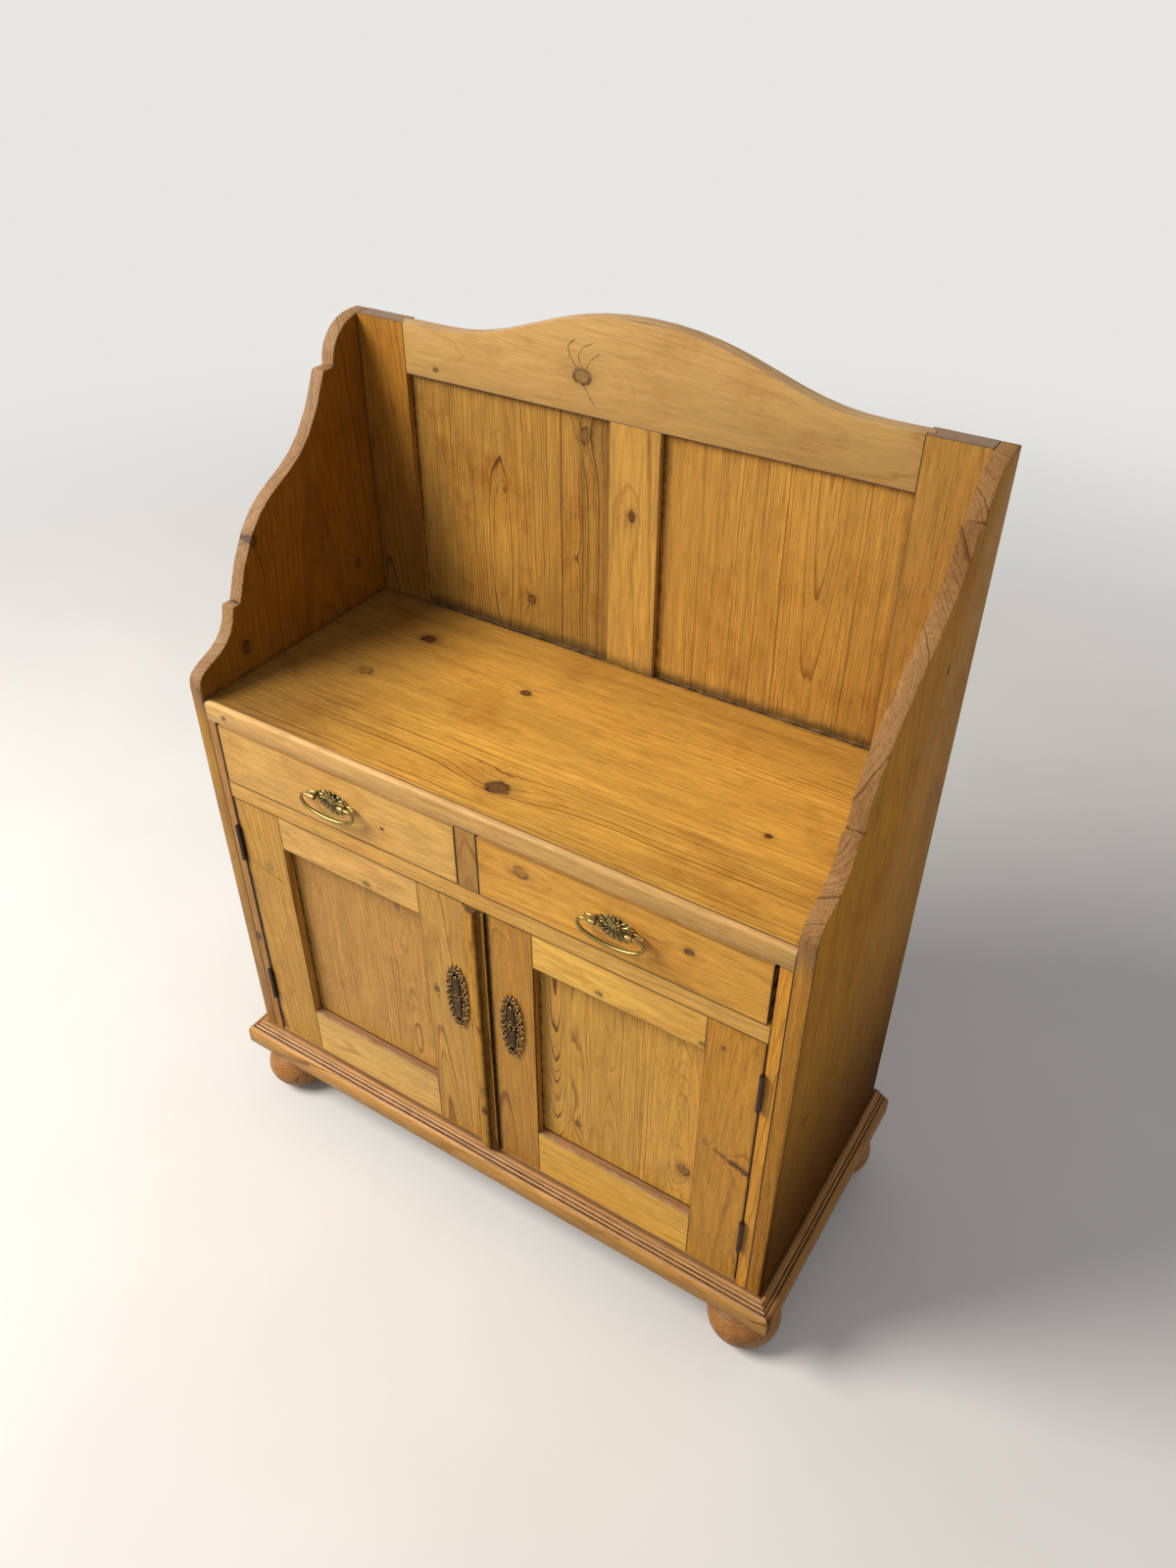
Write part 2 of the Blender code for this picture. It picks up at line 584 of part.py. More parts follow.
def plinth_profile():
    # Pairs of projection from the carcass face and height, from the seat round to the underside.
    def spot(out_share, down_share):
        return PLINTH_PROJECTION * out_share, base_z - PLINTH_HEIGHT * down_share

    profile = [(-PLINTH_SEAT, base_z), spot(PLINTH_TOP_SHARE, 0)]
    profile += [spot(*pair) for pair in PLINTH_BAND_SHARES]
    start_share, drop_share = PLINTH_NOSE_SHARES
    first_share = PLINTH_BAND_SHARES[-1][1]
    for step in range(1, PLINTH_NOSE_STEPS + 1):
        turn = pi / 2 * step / PLINTH_NOSE_STEPS
        profile.append(spot(start_share + (1 - start_share) * sin(turn),
                            drop_share - (drop_share - first_share) * cos(turn)))
    return profile + [spot(1, 1), (-PLINTH_SEAT, FOOT_HEIGHT)]


def add_moulding(name, corners, finish):
    # corners holds the places of the profile at both ends, point by point.
    bm = bmesh.new()
    rings = [[bm.verts.new(place) for place in ring] for ring in corners]
    bm.faces.new(rings[0])
    bm.faces.new(rings[1][::-1])
    count = len(rings[0])
    for n in range(count):
        bm.faces.new((rings[0][n], rings[0][(n + 1) % count], rings[1][(n + 1) % count], rings[1][n]))
    middle = [(min(side) + max(side)) / 2 for side in zip(*[v.co for v in bm.verts])]
    return finish_mesh(name, bm, middle, finish, None, True)


def foot_places():
    x = outer_x + PLINTH_PROJECTION - FOOT_RADIUS
    y_front = front_y - PLINTH_PROJECTION + FOOT_RADIUS
    y_back = back_y + PLINTH_BACK_LAP - FOOT_RADIUS
    return {"front_left": (-x, y_front), "front_right": (x, y_front), "back_left": (-x, y_back),
            "back_right": (x, y_back)}


def build_plinth():
    profile = plinth_profile()
    end_y = back_y + PLINTH_BACK_LAP
    front = add_moulding("plinth_front", [[(sign * (outer_x + out), front_y - out, z) for out, z in profile]
                                          for sign in (-1, 1)], "pine_worn")
    pieces = {"front": front}
    for side, sign in (("left", -1), ("right", 1)):
        rings = [[(sign * (outer_x + out), front_y - out + 2 * FIT, z) for out, z in profile],
                 [(sign * (outer_x + out), end_y, z) for out, z in profile]]
        pieces[side] = add_moulding(f"plinth_{side}", rings, "pine_worn")
    for corner, (x, y) in foot_places().items():
        rod = [((x, y), FOOT_TENON_RADIUS + FIT,
                FOOT_HEIGHT - OVERRUN, FOOT_HEIGHT + FOOT_TENON_LENGTH + FIT)]
        row, side = corner.split("_")
        cut_rods(pieces[side], "z", rod, FOOT_SIDES)
        if row == "front":
            cut_rods(front, "z", rod, FOOT_SIDES)


def foot_profile():
    # Radius and height, from the sole up.
    def belly(height):
        return FOOT_RADIUS * sqrt(1 - ((height - FOOT_BELLY_HEIGHT) / FOOT_ROUND_HEIGHT) ** 2)

    profile = [(0.0, 0.0)]
    for step in range(FOOT_STEPS + 1):
        height = FOOT_SHOULDER_HEIGHT * (1 - cos(pi * step / FOOT_STEPS)) / 2
        profile.append((belly(height), height))
    profile += [(FOOT_NECK_RADIUS, (FOOT_SHOULDER_HEIGHT + FOOT_NECK_HEIGHT) / 2),
                (FOOT_NECK_RADIUS, FOOT_NECK_HEIGHT), (FOOT_COLLAR_RADIUS, FOOT_COLLAR_HEIGHT),
                (FOOT_COLLAR_RADIUS, FOOT_HEIGHT - FIT), (FOOT_TENON_RADIUS, FOOT_HEIGHT - FIT),
                (FOOT_TENON_RADIUS, FOOT_HEIGHT + FOOT_TENON_LENGTH), (0.0, FOOT_HEIGHT + FOOT_TENON_LENGTH)]
    return profile


def build_feet():
    mesh = None
    for corner, (x, y) in foot_places().items():
        if mesh is None:
            bm = bmesh.new()
            points = [bm.verts.new((radius, 0.0, height)) for radius, height in foot_profile()]
            edges = [bm.edges.new(pair) for pair in zip(points, points[1:])]
            bmesh.ops.spin(bm, geom=points + edges, axis=(0.0, 0.0, 1.0), cent=(0.0, 0.0, 0.0), angle=tau,
                           steps=FOOT_SIDES, use_merge=True)
            foot = finish_mesh(f"foot_{corner}", bm, (0.0, 0.0, 0.0), "pine_turned", None, True)
            foot.location = (x, y, 0.0)
            mesh = foot.data
        else:
            add_object(f"foot_{corner}", mesh, (x, y, 0.0), None, None)


def hinge_axis_place(sign):
    return sign * (opening_x - DOOR_SIDE_GAP / 2), front_y - KNUCKLE_RADIUS - FIT


def add_leaf(name, sign, leaf_x, foot_z, knuckle_thirds, holder):
    # A let-in leaf and its knuckles, which take up the named thirds of the hinge's length.
    axis = hinge_axis_place(sign)
    plan = box_outline(leaf_x, (front_y + FIT, front_y + LEAF_DEPTH))
    leaf = add_prism(name, plan, "z", foot_z, foot_z + HINGE_LENGTH, "iron", holder)
    tongue = box_outline(leaf_x, (axis[1], front_y + 2 * FIT))
    third = HINGE_LENGTH / 3
    for spot in knuckle_thirds:
        span = (foot_z + third * spot + FIT / 2, foot_z + third * (spot + 1) - FIT / 2)
        join_rods(leaf, "z", [(axis, KNUCKLE_RADIUS, *span)], KNUCKLE_SIDES)
        join_prism(leaf, tongue, "z", *span)
    return leaf


def hinge_levels():
    # Where each hinge's foot stands, from the door's own ends.
    return (("lower", door_low_z + HINGE_LOW_INSET),
            ("upper", door_high_z - HINGE_HIGH_INSET - HINGE_LENGTH))


def build_frame_hinges():
    # A pin is fast in the two knuckles on the frame and turns in the one on the door.
    for side, sign in (("left", -1), ("right", 1)):
        axis = hinge_axis_place(sign)
        leaf_x = sorted((sign * opening_x, sign * (opening_x + LEAF_THICKNESS)))
        for level, foot_z in hinge_levels():
            leaf = add_leaf(f"hinge_{side}_{level}_frame_leaf", sign, leaf_x, foot_z, (0, 2), None)
            top = foot_z + HINGE_LENGTH
            join_rods(leaf, "z", [(axis, PIN_RADIUS, foot_z + PIN_HEAD, top),
                                  (axis, PIN_HEAD_RADIUS, top - PIN_HEAD, top + PIN_HEAD)], KNUCKLE_SIDES)


def scalloped_outline(middle, half_width, half_height, lobes, depth_share):
    outline = []
    for step in range(lobes * LOBE_STEPS):
        turn = tau * step / (lobes * LOBE_STEPS)
        swell = 1 - depth_share * (1 - abs(sin(turn * lobes / 2)))
        outline.append((middle[0] + half_width * swell * cos(turn),
                        middle[1] + half_height * swell * sin(turn)))
    return outline


def add_escutcheon(name, x, level, holder):
    z = base_z + level
    face_y = front_y - FIT
    plate = add_prism(name, scalloped_outline((x, z), ESCUTCHEON_WIDTH / 2, ESCUTCHEON_HEIGHT / 2,
                                              ESCUTCHEON_LOBES, ESCUTCHEON_SCALLOP_SHARE), "y",
                      face_y - ESCUTCHEON_THICKNESS, face_y, "bronze", holder)
    half_w, half_h = ESCUTCHEON_RIDGE_WIDTH / 2, ESCUTCHEON_RIDGE_HEIGHT / 2
    taper = half_w * ESCUTCHEON_TAPER_SHARE
    ridge = [(x - half_w, z), (x - taper, z - half_h), (x + taper, z - half_h), (x + half_w, z),
             (x + taper, z + half_h), (x - taper, z + half_h)]
    join_prism(plate, ridge, "y", face_y - ESCUTCHEON_THICKNESS - ESCUTCHEON_RIDGE_THICKNESS,
               face_y - ESCUTCHEON_THICKNESS / 2)
    return plate


def cut_keyhole(piece, x, z, y_span):
    cut_rods(piece, "y", [((x, z), KEYHOLE_RADIUS, *y_span)], KNUCKLE_SIDES)
    cut_boxes(piece, [((x - KEYHOLE_SLOT_WIDTH / 2, x + KEYHOLE_SLOT_WIDTH / 2), y_span,
                       (z - KEYHOLE_SLOT_HEIGHT, z))])


def add_door_frame(side, holder, outer_edge_x, hinge_width, meeting_edge_x, meeting_width):
    # The four frame members and the panel of one door; sign runs from the hinge to the meeting edge.
    sign = 1 if meeting_edge_x > outer_edge_x else -1
    hinge_inner = outer_edge_x + sign * hinge_width
    meeting_inner = meeting_edge_x - sign * meeting_width
    y_span = (front_y, door_back_y)
    z_span = (door_low_z, door_high_z)
    hinge_stile = add_prism(f"door_{side}_hinge_stile",
                            upright_outline(sorted((outer_edge_x, hinge_inner)), y_span, door_groove,
                                            sign < 0, sign > 0), "z", *z_span, "pine_frame", holder)
    leaf_x = sorted((outer_edge_x - sign * OVERRUN, outer_edge_x + sign * (LEAF_THICKNESS + FIT)))
    cut_boxes(hinge_stile, [(leaf_x, (front_y - OVERRUN, front_y + LEAF_DEPTH + FIT),
                             (foot_z - FIT, foot_z + HINGE_LENGTH + FIT))
                            for level, foot_z in hinge_levels()])
    meeting_stile = add_prism(f"door_{side}_meeting_stile",
                              upright_outline(sorted((meeting_edge_x, meeting_inner)), y_span, door_groove,
                                              sign > 0, sign < 0), "z", *z_span, "pine_frame", holder)
    low_x, high_x = sorted((hinge_inner, meeting_inner))
    clear_x = (low_x + FIT, high_x - FIT)
    rail_z = (door_high_z - DOOR_TOP_RAIL_HEIGHT, door_low_z + DOOR_BOTTOM_RAIL_HEIGHT)
    add_framed_rail(f"door_{side}_top_rail", clear_x, y_span, door_groove, (rail_z[0], door_high_z),
                    ("bottom",), "pine_frame", holder)
    add_framed_rail(f"door_{side}_bottom_rail", clear_x, y_span, door_groove, (door_low_z, rail_z[1]),
                    ("top",), "pine_frame", holder)
    add_panel(f"door_{side}_panel", clear_x, door_groove, (rail_z[1], rail_z[0]), "pine_panel", holder)
    leaf_x = sorted((outer_edge_x, outer_edge_x + sign * LEAF_THICKNESS))
    bore = PIN_RADIUS + PIN_CLEARANCE
    for level, foot_z in hinge_levels():
        leaf = add_leaf(f"hinge_{side}_{level}_door_leaf", -sign, leaf_x, foot_z, (1,), holder)
        cut_rods(leaf, "z", [(hinge_axis_place(-sign), bore, foot_z, foot_z + HINGE_LENGTH)], KNUCKLE_SIDES)
    return meeting_stile


def build_left_door():
    axis_x, axis_y = hinge_axis_place(-1)
    holder = add_axis("door_left_axis", (axis_x, axis_y, base_z))
    stile = add_door_frame("left", holder, door_left_edge_x, LEFT_HINGE_STILE_WIDTH, meeting_left_x,
                           LEFT_MEETING_STILE_WIDTH)
    add_escutcheon("door_left_escutcheon", meeting_left_x - LEFT_ESCUTCHEON_INSET,
                   LEFT_ESCUTCHEON_LEVEL, holder)
    bolt_y, bolt_z = lock_bolt_spans()
    cut_boxes(stile, [((meeting_left_x - LOCK_BOLT_TRAVEL, meeting_left_x + OVERRUN),
                       (bolt_y[0] - FIT, bolt_y[1] + FIT), (bolt_z[0] - FIT, bolt_z[1] + FIT))])
    build_turn_button(holder, stile)


def build_turn_button(door, stile):
    x, z = meeting_left_x - LEFT_MEETING_STILE_WIDTH / 2, door_high_z - BUTTON_DROP
    low_y = door_back_y + BUTTON_LIFT
    half, end = BUTTON_LENGTH / 2, BUTTON_WIDTH / 2
    outline = []
    for sign in (1, -1):
        for step in range(BUTTON_END_STEPS + 1):
            turn = pi * step / BUTTON_END_STEPS - pi / 2
            outline.append((x + sign * (half - end + end * cos(turn)), z + sign * end * sin(turn)))
    pivot = add_axis("turn_button_axis", (x, low_y, z), door)
    button = add_prism("door_left_turn_button", outline, "y", low_y, low_y + BUTTON_THICKNESS, "iron", pivot)
    pin_y = door_back_y - BUTTON_PIN_LENGTH
    join_rods(button, "y", [((x, z), BUTTON_PIN_RADIUS, pin_y, low_y + BUTTON_THICKNESS / 2)], KNUCKLE_SIDES)
    cut_rods(stile, "y", [((x, z), BUTTON_PIN_RADIUS + FIT, pin_y - FIT, door_back_y + OVERRUN)],
             KNUCKLE_SIDES)


def lock_bolt_spans():
    back = door_back_y - LOCK_BACK_WALL
    middle_z = base_z + RIGHT_ESCUTCHEON_LEVEL - LOCK_BOLT_DROP
    return ((back - LOCK_BOLT_THICKNESS, back),
            (middle_z - LOCK_BOLT_HEIGHT / 2, middle_z + LOCK_BOLT_HEIGHT / 2))


def strip_outline():
    # Plan of the moulded strip over the meeting of the doors: two fillets and a round between them.
    low_x = meeting_right_x + FIT
    high_x = low_x + STRIP_WIDTH
    face = front_y - FIT
    fillet_y = face - STRIP_FILLET_THICKNESS
    round_low, round_high = low_x + STRIP_FILLET_WIDTH, high_x - STRIP_FILLET_WIDTH
    middle, half = (round_low + round_high) / 2, (round_high - round_low) / 2
    outline = [(low_x, face), (low_x, fillet_y), (round_low, fillet_y)]
    for step in range(1, STRIP_STEPS):
        turn = pi * step / STRIP_STEPS
        outline.append((middle - half * cos(turn),
                        fillet_y - (STRIP_THICKNESS - STRIP_FILLET_THICKNESS) * sin(turn)))
    return outline + [(round_high, fillet_y), (high_x, fillet_y), (high_x, face)]


def build_right_door():
    axis_x, axis_y = hinge_axis_place(1)
    holder = add_axis("door_right_axis", (axis_x, axis_y, base_z))
    stile = add_door_frame("right", holder, door_right_edge_x, RIGHT_HINGE_STILE_WIDTH, meeting_right_x,
                           RIGHT_MEETING_STILE_WIDTH)
    add_prism("door_right_meeting_strip", strip_outline(), "z", door_low_z, door_high_z, "pine_worn", holder,
              smooth=True)
    key_x = meeting_right_x + RIGHT_ESCUTCHEON_INSET
    key_z = base_z + RIGHT_ESCUTCHEON_LEVEL
    plate = add_escutcheon("door_right_escutcheon", key_x, RIGHT_ESCUTCHEON_LEVEL, holder)
    lock_y = (door_back_y - LOCK_THICKNESS, door_back_y)
    lock_z = (key_z - LOCK_HEIGHT / 2 - LOCK_BOLT_DROP / 2, key_z + LOCK_HEIGHT / 2 - LOCK_BOLT_DROP / 2)
    lock_x = (meeting_right_x, meeting_right_x + LOCK_WIDTH)
    cut_boxes(stile, [((lock_x[0] - OVERRUN, lock_x[1] + FIT), (lock_y[0] - FIT, lock_y[1] + OVERRUN),
                       (lock_z[0] - FIT, lock_z[1] + FIT))])
    cut_keyhole(plate, key_x, key_z, (front_y - PLINTH_PROJECTION, front_y + OVERRUN))
    cut_keyhole(stile, key_x, key_z, (front_y - OVERRUN, door_back_y))
    case = add_board("door_right_lock_case", lock_x, lock_y, lock_z, "iron", holder)
    cut_keyhole(case, key_x, key_z, (lock_y[0] - OVERRUN, door_back_y - LOCK_BACK_WALL))
    bolt_y, bolt_z = lock_bolt_spans()
    bolt_x = (lock_x[0] + FIT, lock_x[0] + FIT + LOCK_BOLT_LENGTH)
    cut_boxes(case, [((lock_x[0] - OVERRUN, bolt_x[1] + FIT), (bolt_y[0] - FIT, bolt_y[1] + FIT),
                      (bolt_z[0] - FIT, bolt_z[1] + FIT))])
    path = add_axis("lock_bolt_path", (bolt_x[0], bolt_y[0], bolt_z[0]), holder)
    add_board("door_right_lock_bolt", bolt_x, bolt_y, bolt_z, "iron", path)


def drawer_spans():
    # Ends of the left and right drawer fronts.
    return ((-opening_x + DRAWER_GAP, divider_low_x - DRAWER_GAP),
            (divider_high_x + DRAWER_GAP, opening_x - RIGHT_DRAWER_END_GAP))


def tail_outline(front, shoulder, z_span, tail, grow):
    pitch = (z_span[1] - z_span[0]) / DOVETAILS
    middle = z_span[0] + pitch * (tail + 1 / 2)
    neck, tip = pitch * TAIL_NECK_SHARE / 2 + grow, pitch * TAIL_TIP_SHARE / 2 + grow
    return [(shoulder, middle - neck), (front, middle - tip),
            (front, middle + tip), (shoulder, middle + neck)]


def build_drawer(side, x_span, holder):
    low_x, high_x = x_span
    front_z = (rail_high_z + DRAWER_LOW_GAP, top_low_z - DRAWER_TOP_GAP)
    board_z = (rail_high_z + FIT, front_z[1] - DRAWER_SIDE_DROP)
    shoulder_y = front_y + DRAWER_FRONT_THICKNESS
    tip_y = front_y + DOVETAIL_LAP
    rear_y = frame_y - DRAWER_BACK_GAP
    wall = DRAWER_SIDE_THICKNESS
    bottom_z = (board_z[0] + DRAWER_BOTTOM_LIFT, board_z[0] + DRAWER_BOTTOM_LIFT + DRAWER_BOTTOM_THICKNESS)
    groove_z = (bottom_z[0] - FIT, bottom_z[1] + FIT)
    front = add_board(f"drawer_{side}_front", x_span, (front_y, shoulder_y), front_z, "pine_frame", holder)
    joint_z = (front_z[0], board_z[1])
    for end in ((low_x - OVERRUN, low_x + wall + FIT), (high_x - wall - FIT, high_x + OVERRUN)):
        for tail in range(DOVETAILS):
            cut_prism(front, tail_outline(tip_y, shoulder_y + OVERRUN, joint_z, tail, FIT), "x", *end)
    entry = DRAWER_BOTTOM_ENTRY
    cut_boxes(front, [((low_x + wall - entry - FIT, high_x - wall + entry + FIT),
                       (shoulder_y - entry - FIT, shoulder_y + OVERRUN), groove_z)])
    back_y_span = (rear_y - DRAWER_BACK_INSET - DRAWER_BACK_THICKNESS, rear_y - DRAWER_BACK_INSET)
    root_y = shoulder_y + FIT
    plan = [(low_x, root_y), (low_x + wall, root_y), (low_x + wall, back_y_span[0]),
            (high_x - wall, back_y_span[0]), (high_x - wall, root_y), (high_x, root_y), (high_x, rear_y),
            (high_x - wall, rear_y), (high_x - wall, back_y_span[1]), (low_x + wall, back_y_span[1]),
            (low_x + wall, rear_y), (low_x, rear_y)]
    box = add_prism(f"drawer_{side}_box", plan, "z", *board_z, "pine_inside", holder)
    for span in ((low_x, low_x + wall), (high_x - wall, high_x)):
        for tail in range(DOVETAILS):
            join_prism(box, tail_outline(tip_y + FIT, root_y + OVERRUN, joint_z, tail, 0.0), "x", *span)
    cut_boxes(box, [((low_x + wall - entry - FIT, high_x - wall + entry + FIT),
                     (shoulder_y - entry - FIT, rear_y + OVERRUN), groove_z),
                    ((low_x + wall, high_x - wall), (back_y_span[0] - OVERRUN, back_y_span[1] + OVERRUN),
                     (board_z[0] - OVERRUN, groove_z[1]))])
    add_board(f"drawer_{side}_bottom", (low_x + wall - entry, high_x - wall + entry),
              (shoulder_y - entry, rear_y - DRAWER_BACK_INSET / 2), bottom_z, "pine_inside", holder)
    build_pull(side, (low_x + high_x) / 2, (front_z[0] + front_z[1]) / 2, holder)


def arm_outline(x, z):
    # A long leaf that runs out on both sides over the posts.
    upper, lower = [], []
    for step in range(ARM_STEPS + 1):
        share = 2 * step / ARM_STEPS - 1
        swell = ARM_HEIGHT / 2 * (1 - share ** 4)
        upper.append((x + ARM_HALF_WIDTH * share, z + swell))
        lower.append((x + ARM_HALF_WIDTH * share, z - swell))
    return lower + upper[-2:0:-1]


def build_pull(side, x, z, drawer):
    face = front_y - FIT
    axis_y, axis_z = front_y - PULL_STANDOFF, z + PULL_LIFT
    plate = add_prism(f"drawer_{side}_pull_plate",
                      scalloped_outline((x, z), ROSETTE_HALF_WIDTH, ROSETTE_HALF_HEIGHT, ROSETTE_LOBES,
                                        ROSETTE_SCALLOP_SHARE), "y", face - ROSETTE_THICKNESS, face, "brass",
                      drawer)
    join_prism(plate, arm_outline(x, axis_z), "y", face - ARM_THICKNESS, face)
    join_rods(plate, "y", [((x, z), ROSETTE_BOSS_RADIUS, face - ROSETTE_THICKNESS - ROSETTE_BOSS_THICKNESS,
                            face - ROSETTE_THICKNESS / 2)], BARREL_SIDES)
    half = BARREL_LENGTH / 2
    for sign in (-1, 1):
        post_x = x + sign * PULL_HALF_SPACING
        join_rods(plate, "y", [((post_x, axis_z), POST_RADIUS, axis_y, face - ARM_THICKNESS / 2)],
                  BARREL_SIDES)
        join_rods(plate, "x", [((axis_y, axis_z), BARREL_RADIUS, post_x - half, post_x + half)],
                  BARREL_SIDES)
        mouth = post_x + sign * half
        bore = sorted((mouth + sign * OVERRUN, mouth - sign * BAIL_BORE_DEPTH))
        cut_rods(plate, "x", [((axis_y, axis_z), BAIL_END_RADIUS + BAIL_CLEARANCE, *bore)], BARREL_SIDES)
    holder = add_axis(f"pull_{side}_axis", (x, axis_y, axis_z), drawer)
    build_bail(side, (x, axis_y, axis_z), holder)


def bail_path():
    # Pairs of place along the width and drop below the axis, from the left end round to the right.
    def spot(pair):
        return -BAIL_HALF_WIDTH * pair[0], -BAIL_DROP * pair[1]

    start_x = PULL_HALF_SPACING + BARREL_LENGTH / 2 - BAIL_BORE_DEPTH + BAIL_CLEARANCE
    bend = [spot(pair) for pair in BAIL_BEND_SHARES]
    bow = [spot(pair) for pair in BAIL_BOW_SHARES]
    half = [(-start_x, 0.0), ((-start_x + bend[0][0]) / 2, 0.0), bend[0]]
    half += bezier(bend, BAIL_STEPS) + bezier(bow, BAIL_STEPS)
    return half + [(-x, z) for x, z in half[-2::-1]]


def build_bail(side, place, holder):
    path = bail_path()
    wire = bpy.data.curves.new(f"drawer_{side}_bail", "CURVE")
    wire.dimensions = "3D"
    wire.bevel_depth = BAIL_MIDDLE_RADIUS
    wire.bevel_resolution = 2
    wire.use_fill_caps = True
    line = wire.splines.new("POLY")
    line.points.add(len(path) - 1)
    end_share = BAIL_END_RADIUS / BAIL_MIDDLE_RADIUS
    for point, (x, z) in zip(line.points, path):
        share = min(1, -z / BAIL_DROP)
        point.co = (x, -BAIL_STANDOFF * share, z, 1.0)
        point.radius = end_share + (1 - end_share) * share
    add_object(f"drawer_{side}_bail", wire, place, "brass", holder)


def build_all():
    for piece in list(bpy.data.objects):
        bpy.data.objects.remove(piece, do_unlink=True)
    make_material("pine_side", (0.42, 0.24, 0.085), 0.45, 0.0)
    make_material("pine_frame", (0.58, 0.36, 0.12), 0.42, 0.0)
    make_material("pine_top", (0.50, 0.25, 0.045), 0.38, 0.0)
    make_material("pine_panel", (0.46, 0.27, 0.09), 0.45, 0.0)
    make_material("pine_worn", (0.50, 0.31, 0.17), 0.5, 0.0)
    make_material("pine_turned", (0.44, 0.24, 0.08), 0.35, 0.0)
    make_material("pine_inside", (0.60, 0.44, 0.24), 0.7, 0.0)
    make_material("iron", (0.035, 0.025, 0.02), 0.55, 0.8)
    make_material("bronze", (0.10, 0.075, 0.05), 0.45, 0.9)
    make_material("brass", (0.42, 0.32, 0.13), 0.35, 1.0)
    build_sides()
    build_worktop()
    build_inner_frame()
    build_runners()
    build_back()
    build_plinth()
    build_feet()
    build_frame_hinges()
    build_left_door()
    build_right_door()
    for side, x_span in zip(("left", "right"), drawer_spans()):
        holder = add_axis(f"drawer_{side}_slide", (sum(x_span) / 2, front_y, rail_high_z))
        build_drawer(side, x_span, holder)


build_all()
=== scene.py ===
import bpy
import bmesh
import json
import math
from functools import partial
from mathutils import Matrix, Vector


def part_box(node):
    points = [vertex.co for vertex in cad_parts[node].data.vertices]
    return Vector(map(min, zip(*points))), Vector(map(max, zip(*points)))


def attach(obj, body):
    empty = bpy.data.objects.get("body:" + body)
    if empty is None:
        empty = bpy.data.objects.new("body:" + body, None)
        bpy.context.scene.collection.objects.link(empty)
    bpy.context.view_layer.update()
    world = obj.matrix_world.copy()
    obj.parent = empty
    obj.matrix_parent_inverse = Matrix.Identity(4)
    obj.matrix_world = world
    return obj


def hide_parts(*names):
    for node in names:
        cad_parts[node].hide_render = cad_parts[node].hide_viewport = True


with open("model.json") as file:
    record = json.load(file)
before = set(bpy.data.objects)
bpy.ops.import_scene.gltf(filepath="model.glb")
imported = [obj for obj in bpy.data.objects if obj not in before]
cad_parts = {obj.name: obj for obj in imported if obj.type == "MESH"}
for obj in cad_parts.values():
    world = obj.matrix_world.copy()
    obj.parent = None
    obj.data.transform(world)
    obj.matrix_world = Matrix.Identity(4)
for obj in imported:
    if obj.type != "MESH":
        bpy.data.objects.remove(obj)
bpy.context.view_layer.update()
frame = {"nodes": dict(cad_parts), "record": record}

nodes = frame["nodes"]
mm = 0.001
smooth = {"interpolation_type": "SMOOTHSTEP"}
inColour = {"data_type": "RGBA"}


def srgb(code):
    # hex as given, turned to the linear colour the shader wants
    parts = [int(code[i:i + 2], 16) / 255 for i in (1, 3, 5)]
    return tuple(c / 12.92 if c < 0.04045 else ((c + 0.055) / 1.055) ** 2.4 for c in parts) + (1.0,)


def usable(sockets, name=None):
    return next(socket for socket in sockets if socket.enabled and name in (None, socket.name))


def addNode(tree, kind, *inputs, **settings):
    # inputs fill the sockets in order, after the operation where a node has one; a setting is a property or a
    # socket by name; nodes given are linked
    node = tree.nodes.new("ShaderNode" + kind)
    if inputs and isinstance(inputs[0], str):
        node.operation, *inputs = inputs
    for key, value in (*settings.items(), *enumerate(inputs)):
        if isinstance(key, str) and hasattr(node, key):
            setattr(node, key, value)
            continue
        socket = usable(node.inputs, key) if isinstance(key, str) else node.inputs[key]
        if isinstance(value, bpy.types.Node):
            value = usable(value.outputs)
        if isinstance(value, bpy.types.NodeSocket):
            tree.links.new(value, socket)
        else:
            socket.default_value = value
    return node


def startMaterial(name):
    material = bpy.data.materials.new(name)
    material.use_nodes = True
    material.node_tree.nodes.clear()
    return material, partial(addNode, material.node_tree)


def dress(piece, material):
    piece.data.materials.clear()
    piece.data.materials.append(material)


def toObjectMode():
    bpy.ops.object.mode_set(mode="OBJECT")


def selectNone():
    if bpy.context.object and bpy.context.object.mode != "OBJECT":
        toObjectMode()
    bpy.ops.object.select_all(action="DESELECT")


def pick(piece):
    selectNone()
    piece.select_set(True)
    bpy.context.view_layer.objects.active = piece


def editAll(piece):
    pick(piece)
    bpy.ops.object.mode_set(mode="EDIT")
    bpy.ops.mesh.select_all(action="SELECT")


pineSockets = {
    "Vector": ("point", "halfSize"),
    "Color": ("early", "late", "worn", "edgeWood", "dirtAndShadeColour"),
    "Float": ("pithAcross", "pithDepth", "taper", "ringWidth", "wander", "ringPull", "seed", "ringStrength",
              "mottle", "wear", "knot", "knotRim", "grime", "edgeGrime", "tone", "edgeFace", "joint",
              "streaks"),
}


